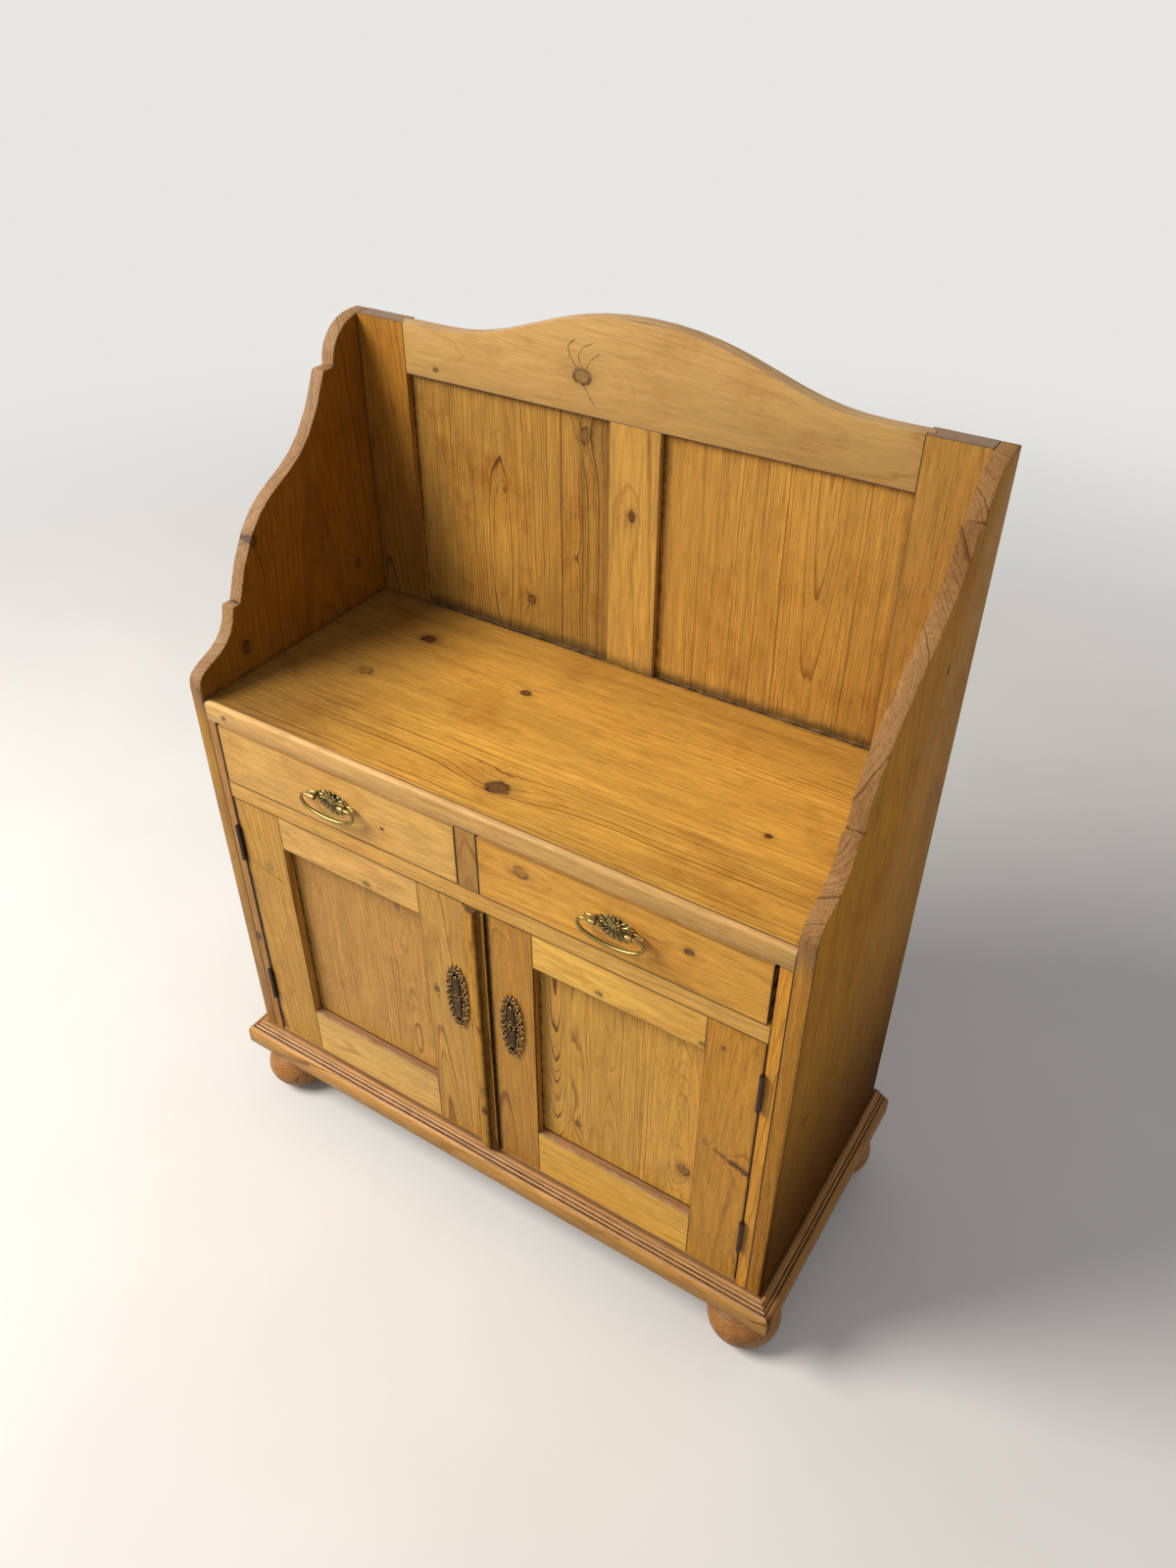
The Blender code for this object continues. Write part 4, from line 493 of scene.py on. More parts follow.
# node: (grain, face, seed, wood, changes); places and sizes in mm, a place of two numbers is on the face
boards = {
    # the inner face is painted darker as shade, being turned from the lamp; along the worktop and the back
    # that face darkens with dirt and painted shade in the corners
    "side_panel_left": ("z", "x", 3, panelWood, dict(
        early="#BC8A38", late="#86561C", worn="#AE8864", wear=0.5, pith=(-50, 90), ringWidth=5, taper=0.05,
        inside=("x", "#8C5A12", "#60390A"), edgeFace=0.9, edgeFrom=875, edgeWood="#96724E",
        knots=((-115.5, 909, 7, 0.8), (-67.7, 1063.4, 6, 0.8), (140, 937.6, 6, 0.6)),
        cracks=((1.8, 0.8, (-500, -113, 980.7), (-113, 980.7)),
                (1.4, 0.7, (-500, 140.5, 1257), (140.5, 1257))), dirtAndShadeSide=("x", -476.6),
        grime=(("z", 865.7, 12, 0.8), ("y", 201.65, 10, 0.6)))),
    # the inner face is painted darker as shade, like the left side's; the outer face darkens with painted
    # shade towards the bottom and the back, in a deep saturated brown, and with dirt and painted shade along
    # the plinth
    "side_panel_right": ("z", "x", 8, panelWood, dict(
        early="#E49E32", late="#9E621C", worn="#B28C68", wear=0.5, pith=(30, 70), ringWidth=5,
        ringStrength=0.5, taper=0.04, gloss=0.04, inside=("-x", "#84561A", "#5C3812"), edgeFace=0.9,
        edgeFrom=875, edgeLow=0.45, edgeWood="#96724E",
        knots=((-145.9, 501.2, 4, 0.6), (111, 1079.8, 4, 0.7)),
        cracks=((1.8, 0.9, (476.6, -113, 980.7), (-113, 980.7)),
                (1.4, 0.8, (476.6, 140.5, 1257), (140.5, 1257)), (0.9, 0.95, (-210, 156.5), (230, 156.5)),
                (1.1, 0.7, (-120, 520), (-113, 470)), (0.8, 0.6, (0, 720), (4, 680))), dirtAndShadeColour="#462400",
        dirtAndShadeSide=("x", 500), grime=(("z", 155.3, 10, 0.7), ("z", 50, 460, 0.94), ("y", 230, 100, 0.15)))),
    # a dark band of painted shade in the gap beside the left door
    "front_stile_left": ("z", "-y", 5, frameWood, dict(
        early="#C08A48", late="#85542A", pith=(40, 30), joint=0.3, knots=((-472, 386.6, 6, 0.7),),
        grime=(("x", -458, 4.5, 1),))),
    "front_stile_right": ("z", "-y", 6, frameWood, dict(
        early="#EDA83C", late="#A4601A", pith=(-30, 25), ringStrength=0.8)),
    # a wide painted shadow of the left side over the left part, painted shade towards the back, and dirt with
    # painted shade along the back and both sides
    "worktop": ("x", "z", 2, frameWood, dict(
        early="#D8A246", late="#7E4A14", wear=0.2, pith=(100, 35), ringWidth=7, ringStrength=0.65,
        taper=0.02, wander=9, mottle=0.6, seams=(84, -90), seamShift=160,
        bold=((100, -170, 70, 900, 0.55),),
        knots=((10.3, -148.9, 13, 0.8), (-309, 106.8, 9, 0.9), (-332.5, -19.4, 9, 0.4),
               (-89.9, 61.9, 6, 0.8), (358.6, -44.1, 4, 0.8)),
        cracks=((0.5, 0.85, (284.2, -125.9), (458, -125)), (1.4, 1, (-470, 201), (50, 201)),
                (1, 0.9, (50, 201), (470, 201))), dirtAndShadeColour="#331C06",
        grime=(("y", 201.6, 12, 0.9), ("x", -476.4, 10, 0.7), ("x", 476.4, 8, 0.5),
               ("x", -476.4, 240, 0.62), ("y", 201.6, 100, 0.3)))),
    "worktop_nosing": ("x", "-y", 12, mouldWood, dict(
        early="#E4B36A", late="#C8955A", worn="#E6C196", wear=0.85, ringWidth=4, ringStrength=0.3,
        knots=((-439.7, 849.4, 3, 0.7),))),
    "middle_rail": ("x", "-y", 14, railWood, dict(early="#EDB75D", late="#B57731", pith=(50, 60))),
    "drawer_divider": ("z", "-y", 15, frameWood, dict(early="#C0904A")),
    "bottom_board": ("x", "z", 16, insideWood, dict(
        edgeFace=0.95, edgeWood="#9C6E34", seams=(-70, 80), seamShift=110)),
    "shelf": ("x", "z", 17, insideWood, dict(seams=(30,), seamShift=130)),
    "drawer_runner_frame": ("y", "z", 18, insideWood, dict()),
    # its darker colour and the darkening towards the worktop are painted shade of the corner behind the left
    # side, with dirt and painted shade along the worktop
    "back_stile_left": ("z", "-y", 19, frameWood, dict(
        early="#B37B29", late="#7C4D1B", pith=(30, 25), ringStrength=0.75,
        inside=("z", "#8F7050", "#6A4E34"), dirtAndShadeSide=("y", 201.6),
        grime=(("z", 865.7, 20, 0.6), ("z", 865.7, 320, 0.45)))),
    # dirt and painted shade along the worktop
    "back_stile_right": ("z", "-y", 20, frameWood, dict(
        early="#BF8E42", late="#834F1C", pith=(60, 60), ringStrength=0.3,
        inside=("z", "#8F7050", "#6A4E34"), cracks=((0.3, 0.85, (437.2, 1319.6), (434, 1130)),),
        dirtAndShadeSide=("y", 201.6), grime=(("z", 865.7, 14, 0.5),))),
    "crest_rail": ("x", "-y", 21, frameWood, dict(
        early="#C69E5E", late="#9E7038", worn="#B99A7C", wear=0.7, pith=(-20, 80), ringStrength=0.4,
        mottle=0.45, streaks=0.5, edgeFace=0.7, edgeWood="#BE9A6E",
        knots=((-80.7, 1299.2, 10, 0.5), (-334, 1262, 3, 0.6)),
        cracks=((0.8, 0.75, (-88, 1309), (-100, 1322), (-103, 1337), (-92, 1346)),
                (0.7, 0.75, (-82, 1310), (-87, 1325), (-79, 1338), (-63, 1346)),
                (0.7, 0.75, (-74, 1309), (-67, 1323), (-54, 1333)),
                (0.8, 0.75, (-80, 1289), (-71, 1275), (-60, 1262))))),
    # dirt and painted shade where it meets the worktop
    "back_middle_rail": ("x", "y", 22, insideWood, dict(grime=(("y", 201.6, 20, 1),))),
    # dirt and painted shade along the worktop
    "back_muntin": ("z", "-y", 23, frameWood, dict(
        early="#C69849", late="#885621", pith=(20, 90), ringStrength=0.5, taper=0.02,
        knots=((2.8, 1117.4, 6, 0.8),), dirtAndShadeSide=("y", 201.6), grime=(("z", 865.7, 20, 0.6),))),
    # dirt and painted shade beside the stile, the muntin, the crest rail and the worktop; the wide faint
    # bands are painted shade, on the left the painted shadow of the left side
    "back_panel_left": ("z", "-y", 24, panelWood, dict(
        early="#B88A3D", late="#74471A", pith=(-250, 42), ringStrength=1.1, taper=0.01, wander=8,
        mottle=1.05, seams=(-88,), seamShift=272, bold=((-85, 1050, 45, 400, 0.6),),
        swells=((-235, 1030, 40, 170, 18),),
        knots=((-81.6, 210.6, 1213.1, 9, 0.45), (-180, 210.6, 926.5, 6, 0.6),
               (-224.7, 210.6, 1099.1, 3, 0.5), (-97, 210.6, 1020.7, 3, 0.6)),
        cracks=((1.2, 0.6, (-108, 210.6, 1240), (-100, 210.6, 1222), (-94, 210.6, 1200)),
                (1.4, 0.6, (-94, 210.6, 1236), (-86, 210.6, 1215), (-80, 210.6, 1190)),
                (0.8, 0.5, (-79, 210.6, 1222), (-77, 210.6, 1180), (-80, 210.6, 1150))),
        dirtAndShadeSide=("y", 211),
        grime=(("x", -389.9, 9, 1), ("z", 1246.5, 14, 0.6), ("x", -36.5, 10, 0.5), ("z", 865.7, 25, 0.7),
               ("x", -389.9, 90, 0.25), ("z", 865.7, 120, 0.2), ("x", -86, 7, 0.32),
               ("x", -36.5, 50, 0.36)))),
    # dirt and painted shade beside the muntin, the right stile, the crest rail and the worktop, with a faint
    # wide band of painted shade along the worktop
    "back_panel_right": ("z", "-y", 25, panelWood, dict(
        early="#C49242", late="#7E4D1E", pith=(-65, 50), ringStrength=0.7, taper=0.01, wander=8,
        mottle=0.65, swells=((287, 1250, 42, 310, 26),), dirtAndShadeSide=("y", 211),
        grime=(("x", 44.5, 9, 1), ("z", 1246.5, 12, 0.6), ("z", 865.7, 20, 0.7), ("x", 395.9, 8, 0.5),
               ("z", 865.7, 140, 0.08)))),
    "lower_back_board": ("x", "y", 26, insideWood, dict(seams=(-200, 0, 200), seamShift=170)),
    # the up-facing faces are pinker: wear, and a painted highlight of the lit top; the dark lines at the
    # moulding's steps are dirt and painted shade in its creases
    "plinth_front": ("x", "-y", 27, mouldWood, dict(
        early="#D0984A", late="#8C5A24", worn="#D4AA76", inside=("z", "#CC9C6A", "#8A6034"),
        cracks=((2.5, 0.6, (500, -241, 130), (526, -241, 140)),
                (1, 0.4, (-300, -236, 150), (-170, -238, 147)),
                (1, 0.35, (120, -236, 150), (270, -239, 144))),
        grime=(("y", -223.1, 1.4, 0.5), ("y", -227.7, 1.8, 0.85), ("y", -232.8, 1.8, 0.85),
               ("y", -215.5, 3, 0.6)))),
    # dark lines at the moulding's steps: dirt and painted shade in its creases
    "plinth_left": ("y", "-x", 28, mouldWood, dict(
        early="#B67B30", late="#7A481A", inside=("z", "#B78450", "#7A4E26"),
        grime=(("x", -513.5, 1.8, 0.85), ("x", -518.6, 1.8, 0.85)))),
    # dirt and painted shade near the front corner and in dark lines at the moulding's steps
    "plinth_right": ("y", "x", 29, mouldWood, dict(
        early="#B67B30", late="#7A481A", gloss=0.16, inside=("z", "#B78450", "#7A4E26"),
        grime=(("y", -235, 20, 0.7), ("x", 501.5, 3, 0.9), ("x", 513.5, 1.8, 0.8),
               ("x", 518.6, 1.8, 0.8)))),
    # a dark band of painted shade in the gap at the hinge edge
    "door_left_hinge_stile": ("z", "-y", 30, frameWood, dict(
        early="#D49F46", late="#925A1F", pith=(50, 30), knots=((-405.6, 575, 6, 0.2),),
        cracks=((1.2, 0.55, (-439.2, 571.2), (-412, 563)), (1.5, 0.65, (-408, 562), (-374.7, 552)),
                (0.7, 0.45, (-430, 566), (-385, 558))), grime=(("x", -457.2, 6, 1),))),
    "door_left_meeting_stile": ("z", "-y", 31, frameWood, dict(
        early="#D8A44E", late="#9E6221", pith=(20, 18), ringStrength=1.15,
        knots=((-76.4, 485.2, 4, 0.7),))),
    "door_left_top_rail": ("x", "-y", 32, railWood, dict(
        early="#F1BC68", late="#B87A38", knots=((-194.4, 642.4, 4, 0.6),))),
    # a dark line where the panel meets the ledge: dirt and painted shade in the corner
    "door_left_bottom_rail": ("x", "-y", 33, railWood, dict(
        early="#F3C26D", late="#BA7E3C", worn="#F0CE9A", wear=0.9, inside=("z", "#9E7650", "#5E4028"),
        grime=(("y", -200.4, 2.2, 0.9),))),
    # a painted shadow of the hinge stile down the left edge; dirt and painted shade along the rails and the
    # meeting stile; wide faint bands of painted shade along the hinge stile and the top rail
    "door_left_panel": ("z", "-y", 34, panelWood, dict(
        early="#D29D4E", late="#8D5829", pith=(-85, 34), ringWidth=4.5, taper=0.01, wander=6,
        swells=((-155, 630, 26, 95, 18), (-135, 320, 24, 85, 16)),
        grime=(("x", -364, 12, 1), ("z", 632.3, 8, 0.85), ("x", -95, 3, 0.6), ("z", 261.2, 3, 0.8),
               ("x", -371.7, 60, 0.2), ("z", 640.3, 50, 0.2)))),
    # a dark line of painted shade in the gap at the hinge edge
    "door_right_hinge_stile": ("z", "-y", 35, frameWood, dict(
        early="#D69839", late="#945618", pith=(-30, 22), ringStrength=0.6,
        knots=((388, 449, 4, 0.3), (448, 427.5, 5, 0.5), (400.7, 652.5, 3, 0.6)),
        spikes=((3.4, 0.5, (404, 441.5), (430, 433)), (5.2, 0.75, (428, 433.5), (456.5, 424))),
        grime=(("x", 457.2, 3, 0.8),))),
    # a painted shadow of the meeting strip down the left edge, in a saturated dark brown, and a dark line of
    # dirt and painted shade along the panel
    "door_right_meeting_stile": ("z", "-y", 36, frameWood, dict(
        early="#C68E38", late="#8E561C", pith=(5, 24), ringStrength=0.8, swells=((60, 605, 20, 55, 16),),
        knots=((64.5, 485.5, 8, 1),), dirtAndShadeColour="#341A02", dirtAndShadeSide=("y", -214.3),
        grime=(("x", 26.2, 8, 1), ("x", 104.5, 1.5, 0.7)))),
    "door_right_top_rail": ("x", "-y", 37, railWood, dict(
        early="#FFC960", late="#CE8334",
        knots=((212.7, 643.8, 4, 0.6), (273.1, 616.4, 4, 0.6), (369.1, 641.8, 3, 0.6)))),
    # a dark line where the panel meets the ledge: dirt and painted shade in the corner
    "door_right_bottom_rail": ("x", "-y", 38, railWood, dict(
        early="#FABE53", late="#BF7C2B", worn="#F0CE9A", wear=0.9, inside=("z", "#9E7650", "#5E4028"),
        grime=(("y", -200.4, 2.2, 0.9),))),
    # a painted shadow of the meeting stile down the left edge; dirt and painted shade along the rails and the
    # hinge stile; a wide faint band of painted shade under the top rail
    "door_right_panel": ("z", "-y", 39, panelWood, dict(
        early="#E4AC4C", late="#7C4717", pith=(-96, 30), ringWidth=4, ringStrength=0.75, taper=0.01,
        wander=6, seams=(-40, 80), seamShift=101.5, bold=((132, 440, 19, 330, 2.1),),
        swells=((132, 660, 40, 420, 52), (218, 650, 26, 170, 18), (218, 300, 26, 110, 14),
                (345, 440, 32, 120, 18)), knots=((170.1, 316.1, 5, 0.6), (352, 340.5, 9, 0.55)),
        cracks=((0.8, 0.9, (373.5, 630), (372.8, 450)), (1.1, 0.9, (372.8, 450), (373.8, 270))),
        grime=(("x", 104.5, 9, 1), ("z", 632.3, 8, 0.85), ("x", 374, 4, 0.6), ("z", 261.2, 3, 0.8),
               ("z", 640.3, 50, 0.2)))),
    # the right half of the round is painted dark as shade, in a saturated brown, with a dark line along its
    # right edge
    "door_right_meeting_strip": ("z", "-y", 40, mouldWood, dict(
        early="#CE9844", wear=0.3, ringWidth=4, ringStrength=0.9, gloss=0.05,
        inside=("z", "#6A5338", "#3E2C1A"), knots=((8, -225, 262, 4, 0.7),), dirtAndShadeColour="#361A00",
        grime=(("x", 16, 6.2, 0.8), ("x", 26.2, 1.8, 0.8)))),
    # the ends are painted nearly black: dark end grain, and painted shade in the gaps beside the drawer
    "drawer_left_front": ("x", "-y", 41, railWood, dict(
        early="#EFBA65", late="#CA8D42", pith=(20, 120), ringWidth=8, ringStrength=0.5, edgeFace=0.95,
        endsOnly=True, edgeWood="#3E2813", knots=((-148.3, 769.3, 2, 0.9),))),
    # the ends are painted nearly black: dark end grain, and painted shade in the gaps beside the drawer
    "drawer_right_front": ("x", "-y", 42, railWood, dict(
        early="#EBAD4B", late="#C38130", pith=(0, 100), ringWidth=7, ringStrength=0.5, edgeFace=0.95,
        endsOnly=True, edgeWood="#3E2813", knots=((90.5, 802.8, 9, 0.35), (342.5, 793, 5, 0.75)))),
    "drawer_left_box": ("y", "x", 43, insideWood, dict()),
    "drawer_right_box": ("y", "x", 44, insideWood, dict()),
    "drawer_left_bottom": ("x", "z", 45, insideWood, dict(seams=(50,), seamShift=100)),
    "drawer_right_bottom": ("x", "z", 46, insideWood, dict(seams=(-40,), seamShift=100)),
    "door_left_turn_button": ("z", "y", 47, insideWood, dict(wear=0.8)),
}
curvedBoards = ("side_panel_left", "side_panel_right", "worktop_nosing", "crest_rail", "plinth_front",
                "plinth_left", "plinth_right", "door_right_meeting_strip")
for name, (grain, face, seed, wood, changes) in boards.items():
    changed = {**wood, **changes}
    pine = makePine("waxed pine, " + name.replace("_", " "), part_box(name), grain, face, seed, **changed)
    if name in curvedBoards:
        piece = smoothCopy(name, 1.6 * mm if "side_panel" in name else 0.8 * mm)
        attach(piece, bodyOf[name])
    else:
        piece = nodes[name]
        easeArrises(piece)
    dress(piece, pine)
print("boards finished")


def makeMetal(name, bright, dull, roughBright, roughDull, metallic=1.0, blotch=150.0, crease=4, bump=0.3,
              clearFrom=0.55):
    # cast and filed metal: bright where hands rub it, dark in the creases that polish never reaches
    material, add = startMaterial(name)
    spots = add("TexCoord").outputs["Object"]
    blotches = add("TexNoise", Vector=spots, Scale=blotch, Detail=5.0, Roughness=0.65)
    grit = add("TexNoise", Vector=spots, Scale=2600.0, Detail=2.0)
    shut = add("AmbientOcclusion", samples=6, only_local=True, Distance=crease * mm)
    clear = add("MapRange", shut.outputs["AO"], clearFrom, 0.99)
    lift = add("Math", "MULTIPLY_ADD", blotches, 0.9, -0.45)
    rubbed = add("Math", "ADD", clear, lift, use_clamp=True)
    colour = add("Mix", rubbed, **inColour, A=srgb(dull), B=srgb(bright))
    rough = add("MapRange", rubbed, 0.0, 1.0, roughDull, roughBright)
    both = add("Math", "MULTIPLY_ADD", grit, 0.4, blotches)
    uneven = add("Bump", Height=both, Strength=bump, Distance=0.15 * mm)
    surface = add("BsdfPrincipled", Metallic=metallic, Roughness=rough, Normal=uneven,
                  **{"Base Color": colour})
    add("OutputMaterial", Surface=surface)
    return material


# old lacquered brass, worn bright on the bail; browned bronze castings; forged iron with a skin of rust
brass = makeMetal("antique brass", "#A48E58", "#140E06", 0.28, 0.55, blotch=120.0, crease=5, bump=0.2,
                  clearFrom=0.6)
bailBrass = makeMetal("handled brass", "#8E7844", "#3E2F16", 0.24, 0.42, blotch=70.0, crease=2, bump=0.12)
plateBronze = makeMetal("smoked bronze", "#503A22", "#120B05", 0.42, 0.6)
bronze = makeMetal("browned bronze", "#A88450", "#080402", 0.20, 0.6, metallic=0.95, blotch=180.0,
                   clearFrom=0.88)
iron = makeMetal("rusty iron", "#3C2720", "#180E0A", 0.5, 0.75, metallic=0.5, blotch=260.0, bump=0.5)
for name in nodes:
    if name.startswith("hinge_") or "lock" in name:
        easeArrises(nodes[name], 0.25 * mm)
        dress(nodes[name], iron)


def joinPieces(name, parts):
    selectNone()
    for part in parts:
        part.select_set(True)
    bpy.context.view_layer.objects.active = parts[0]
    bpy.ops.object.join()
    whole = bpy.context.object
    whole.name = name
    bpy.ops.object.transform_apply(location=True, rotation=True, scale=True)
    editAll(whole)
    bpy.ops.mesh.normals_make_consistent(inside=False)
    toObjectMode()
    bpy.ops.object.shade_smooth_by_angle(angle=math.radians(50))
    return whole


def copyMoved(piece, name, step):
    # a second casting from the same pattern, with its own mesh
    again = piece.copy()
    again.data = piece.data.copy()
    again.name = name
    again.data.transform(Matrix.Translation(Vector(step) * mm))
    bpy.context.scene.collection.objects.link(again)
    return again


def selectVerts(piece, wanted):
    # in edit mode: selects the corners that the test picks
    mesh = bmesh.from_edit_mesh(piece.data)
    bpy.ops.mesh.select_all(action="DESELECT")
    for vert in mesh.verts:
        vert.select_set(bool(wanted(vert.co)))
    mesh.select_flush(True)
    bmesh.update_edit_mesh(piece.data)


def plateSpot(plate, x, out, z):
    # beside, out from and above the middle of a plate
    return (plate["middle"][0] + x) * mm, (plate["face"] - out) * mm, (plate["middle"][1] + z) * mm


def addBall(spot, radii, segments=12, rings=8):
    bpy.ops.mesh.primitive_uv_sphere_add(segments=segments, ring_count=rings, radius=1.0, location=spot)
    ball = bpy.context.object
    ball.scale = Vector(radii) * mm
    return ball


def addBead(spot, radius, squash=1.0):
    return addBall(spot, (radius, radius * squash, radius))


def addRod(start, end, radius, sides=24):
    start, end = Vector(start), Vector(end)
    way = end - start
    bpy.ops.mesh.primitive_cylinder_add(vertices=sides, radius=radius * mm, depth=way.length,
                                        location=(start + end) / 2)
    rod = bpy.context.object
    rod.rotation_euler = way.to_track_quat("Z", "Y").to_euler()
    return rod


def addRing(spot, radius, wire, sides, turn=(90, 0, 0), wireSides=8):
    bpy.ops.mesh.primitive_torus_add(major_radius=radius * mm, minor_radius=wire * mm, major_segments=sides,
                                     minor_segments=wireSides, location=spot,
                                     rotation=[math.radians(angle) for angle in turn])
    return bpy.context.object


def addDisc(plate, sides, wide, high, **more):
    # a flat oval on the plate's place, facing out
    bpy.ops.mesh.primitive_circle_add(vertices=sides, radius=1.0, location=plateSpot(plate, 0, 0, 0),
                                      rotation=(math.radians(90), 0, 0), **more)
    disc = bpy.context.object
    disc.scale = (wide * mm, high * mm, 1.0)
    bpy.ops.object.transform_apply(location=False, rotation=True, scale=True)
    editAll(disc)
    return disc


# pulls, in mm: a cast fan with radiating flutes, a leaf to each side, two posts with barrels
pull = {"middle": (-237.6, 779.5), "face": -214.55, "halfWide": 26.5, "halfHigh": 18.4, "petals": 16,
        "hubUp": 5.5, "post": 27, "postUp": 6.5, "postOut": 12.7, "barrel": 4.2, "barrelLong": 9,
        "otherDrawer": (473.75, 0, 0), "leaves": ((-62, 8.5), (-34, 10.0), (0, 11.0), (34, 10.0), (62, 8.5)),
        "rings": ((1.0, 1.3), (0.97, 0.7), (0.90, 0.35), (0.72, 0.35), (0.48, 0.2), (0.30, -0.5),
                  (0.24, -0.2))}
hubUp = pull["hubUp"]
hub = plateSpot(pull, 0, 0, hubUp)
selectNone()
fan = addDisc(pull, pull["petals"] * 8, pull["halfWide"], pull["halfHigh"])
reached = 1.0
for share, lift in pull["rings"]:
    # each ring of the fan: in towards the hub, and out from the drawer
    bpy.ops.mesh.extrude_edges_move(TRANSFORM_OT_translate={"value": (0, -lift * mm, 0)})
    bpy.ops.transform.resize(value=(share / reached, 1, share / reached), center_override=hub)
    reached = share
bpy.ops.mesh.edge_face_add()


def onRim(spot):
    # carries a corner outwards from the hub to the rim: where it lands, as a turn, and how far out it stands
    dx, dz = spot.x / mm / pull["halfWide"], (spot.z / mm - hubUp) / pull["halfHigh"]
    up = hubUp / pull["halfHigh"]
    square, cross, rest = dx * dx + dz * dz, up * dz, up * up - 1
    grow = (-cross + math.sqrt(cross * cross - square * rest)) / max(square, 1e-9)
    return math.atan2(up + grow * dz, grow * dx), 1 / max(grow, 1e-9)


def selectPetals(wanted, inner, outer):
    # wanted: a test of how far round a corner is, from 0 in the middle of its petal to 0.5 between two petals
    def test(spot):
        turn, reach = onRim(spot)
        off = abs(turn / math.tau * pull["petals"] % 1.0 - 0.5)
        return wanted(off) and inner < reach < outer and spot.y < -0.2 * mm
    selectVerts(fan, test)


selectPetals(lambda off: off > 0.40, 0.8, 9)
bpy.ops.transform.resize(value=(0.93, 1, 0.93), center_override=hub)
selectPetals(lambda off: off > 0.30, 0.33, 0.99)
bpy.ops.transform.translate(value=(0, 1.7 * mm, 0))
selectPetals(lambda off: off < 0.10, 0.33, 0.99)
bpy.ops.transform.translate(value=(0, -1.0 * mm, 0))
toObjectMode()
onPull = partial(plateSpot, pull)
castings = [fan]
for petal in range(pull["petals"]):
    turn = math.tau * (petal + 0.5) / pull["petals"]
    rimSpot = onPull(pull["halfWide"] * math.cos(turn), 1.6, pull["halfHigh"] * math.sin(turn))
    castings.append(addBead(rimSpot, 1.7, 0.8))
# a tuft of leaves stands over the hub
for lean, long in pull["leaves"]:
    away = math.radians(lean)
    middle = onPull(math.sin(away) * long * 0.75, 3.0, hubUp + math.cos(away) * long * 0.75)
    leaf = addBall(middle, (2.3, 1.7, long * 0.62), 16, 10)
    leaf.rotation_euler = (math.radians(10), away, 0)
    castings.append(leaf)
castings.append(addBead(onPull(0, 2.6, hubUp), 4.6, 0.55))
for step in range(7):
    turn = math.tau * step / 7
    castings.append(addBead(onPull(3.9 * math.cos(turn), 3.9, hubUp + 3.9 * math.sin(turn)), 1.2))
for side in (-1, 1):
    x, out, z = side * pull["post"], pull["postOut"], pull["postUp"]
    castings += [addRod(onPull(x, -0.2, z), onPull(x, out, z), 2.7), addRing(onPull(x, 2.2, z), 3.3, 0.9, 24)]
    half = pull["barrelLong"] / 2
    barrel = addRod(onPull(x - half, out, z), onPull(x + half, out, z), pull["barrel"] * 0.93, 32)
    barrel.modifiers.new("ease", "BEVEL").width = 0.5 * mm
    barrel.modifiers["ease"].segments = 3
    pick(barrel)
    bpy.ops.object.modifier_apply(modifier="ease")
    castings.append(barrel)
    for along in (-0.62 * half, 0.62 * half):
        castings.append(addRing(onPull(x + along, out, z), pull["barrel"] - 0.65, 0.65, 32, (0, 90, 0)))
    # leaf: a flattened pod with a rib, ending in a bead
    castings += [addBall(onPull(side * 34, 3.6, z - 1.5), (9.5, 2.0, 3.4), 24, 12),
                 addRod(onPull(side * 20, 1.5, z), onPull(side * 42, 5.0, z - 2), 1.3, 12),
                 addBead(onPull(side * 43, 5.2, z - 2), 2.2)]
    for curl in (-5.2, 5.2):
        castings.append(addRing(onPull(side * 22.5, 2.0, z + curl), 2.6, 0.8, 20))
plates = {"left": joinPieces("drawer_left_pull_casting", castings)}
plates["right"] = copyMoved(plates["left"], "drawer_right_pull_casting", pull["otherDrawer"])
for side, plate in plates.items():
    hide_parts(f"drawer_{side}_pull_plate")
    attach(plate, f"drawer_{side}")
    dress(plate, brass)
    bail = smoothCopy(f"drawer_{side}_bail", 0, angle=60)
    editAll(bail)
    bpy.ops.transform.shrink_fatten(value=1.0 * mm)
    toObjectMode()
    smoother = bail.modifiers.new("smoother", "SUBSURF")
    smoother.levels = smoother.render_levels = 2
    bpy.ops.object.modifier_apply(modifier="smoother")
    bpy.ops.object.shade_smooth()
    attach(bail, f"bail_{side}")
    dress(bail, bailBrass)
print("pulls cast")


# escutcheons, in mm: a pierced oval of little rings and beads round a plain boat-shaped spine
escutcheon = {"middle": (-35, 494.5), "face": -214.55, "halfWide": 21.5, "halfHigh": 67, "rings": 22,
              "ring": 3.9, "wire": 1.45, "spineWide": 15, "spineHigh": 84, "spineThick": 3.8, "taper": 0.7,
              "otherDoor": (99.5, 0, -6), "scrolls": (-40, -27, -13, 13, 27, 40)}


def ovalSpot(turn, inset):
    wide, high = escutcheon["halfWide"] - inset, escutcheon["halfHigh"] - inset
    return wide * math.cos(turn), high * math.sin(turn)


def onOval(turn, inset, out):
    x, z = ovalSpot(turn, inset)
    return plateSpot(escutcheon, x, out, z)


def evenTurns(count, inset):
    # evenly spaced along the oval, not by angle, so that the rings touch all round
    fine = 720
    spots = [[c * mm for c in ovalSpot(math.tau * step / fine, inset)] for step in range(fine + 1)]
    lengths = [0.0]
    for one, other in zip(spots, spots[1:]):
        lengths.append(lengths[-1] + math.dist(one, other))
    turns, at = [], 0
    for k in range(count):
        while lengths[at] < lengths[-1] * k / count:
            at += 1
        turns.append(math.tau * at / fine)
    return turns


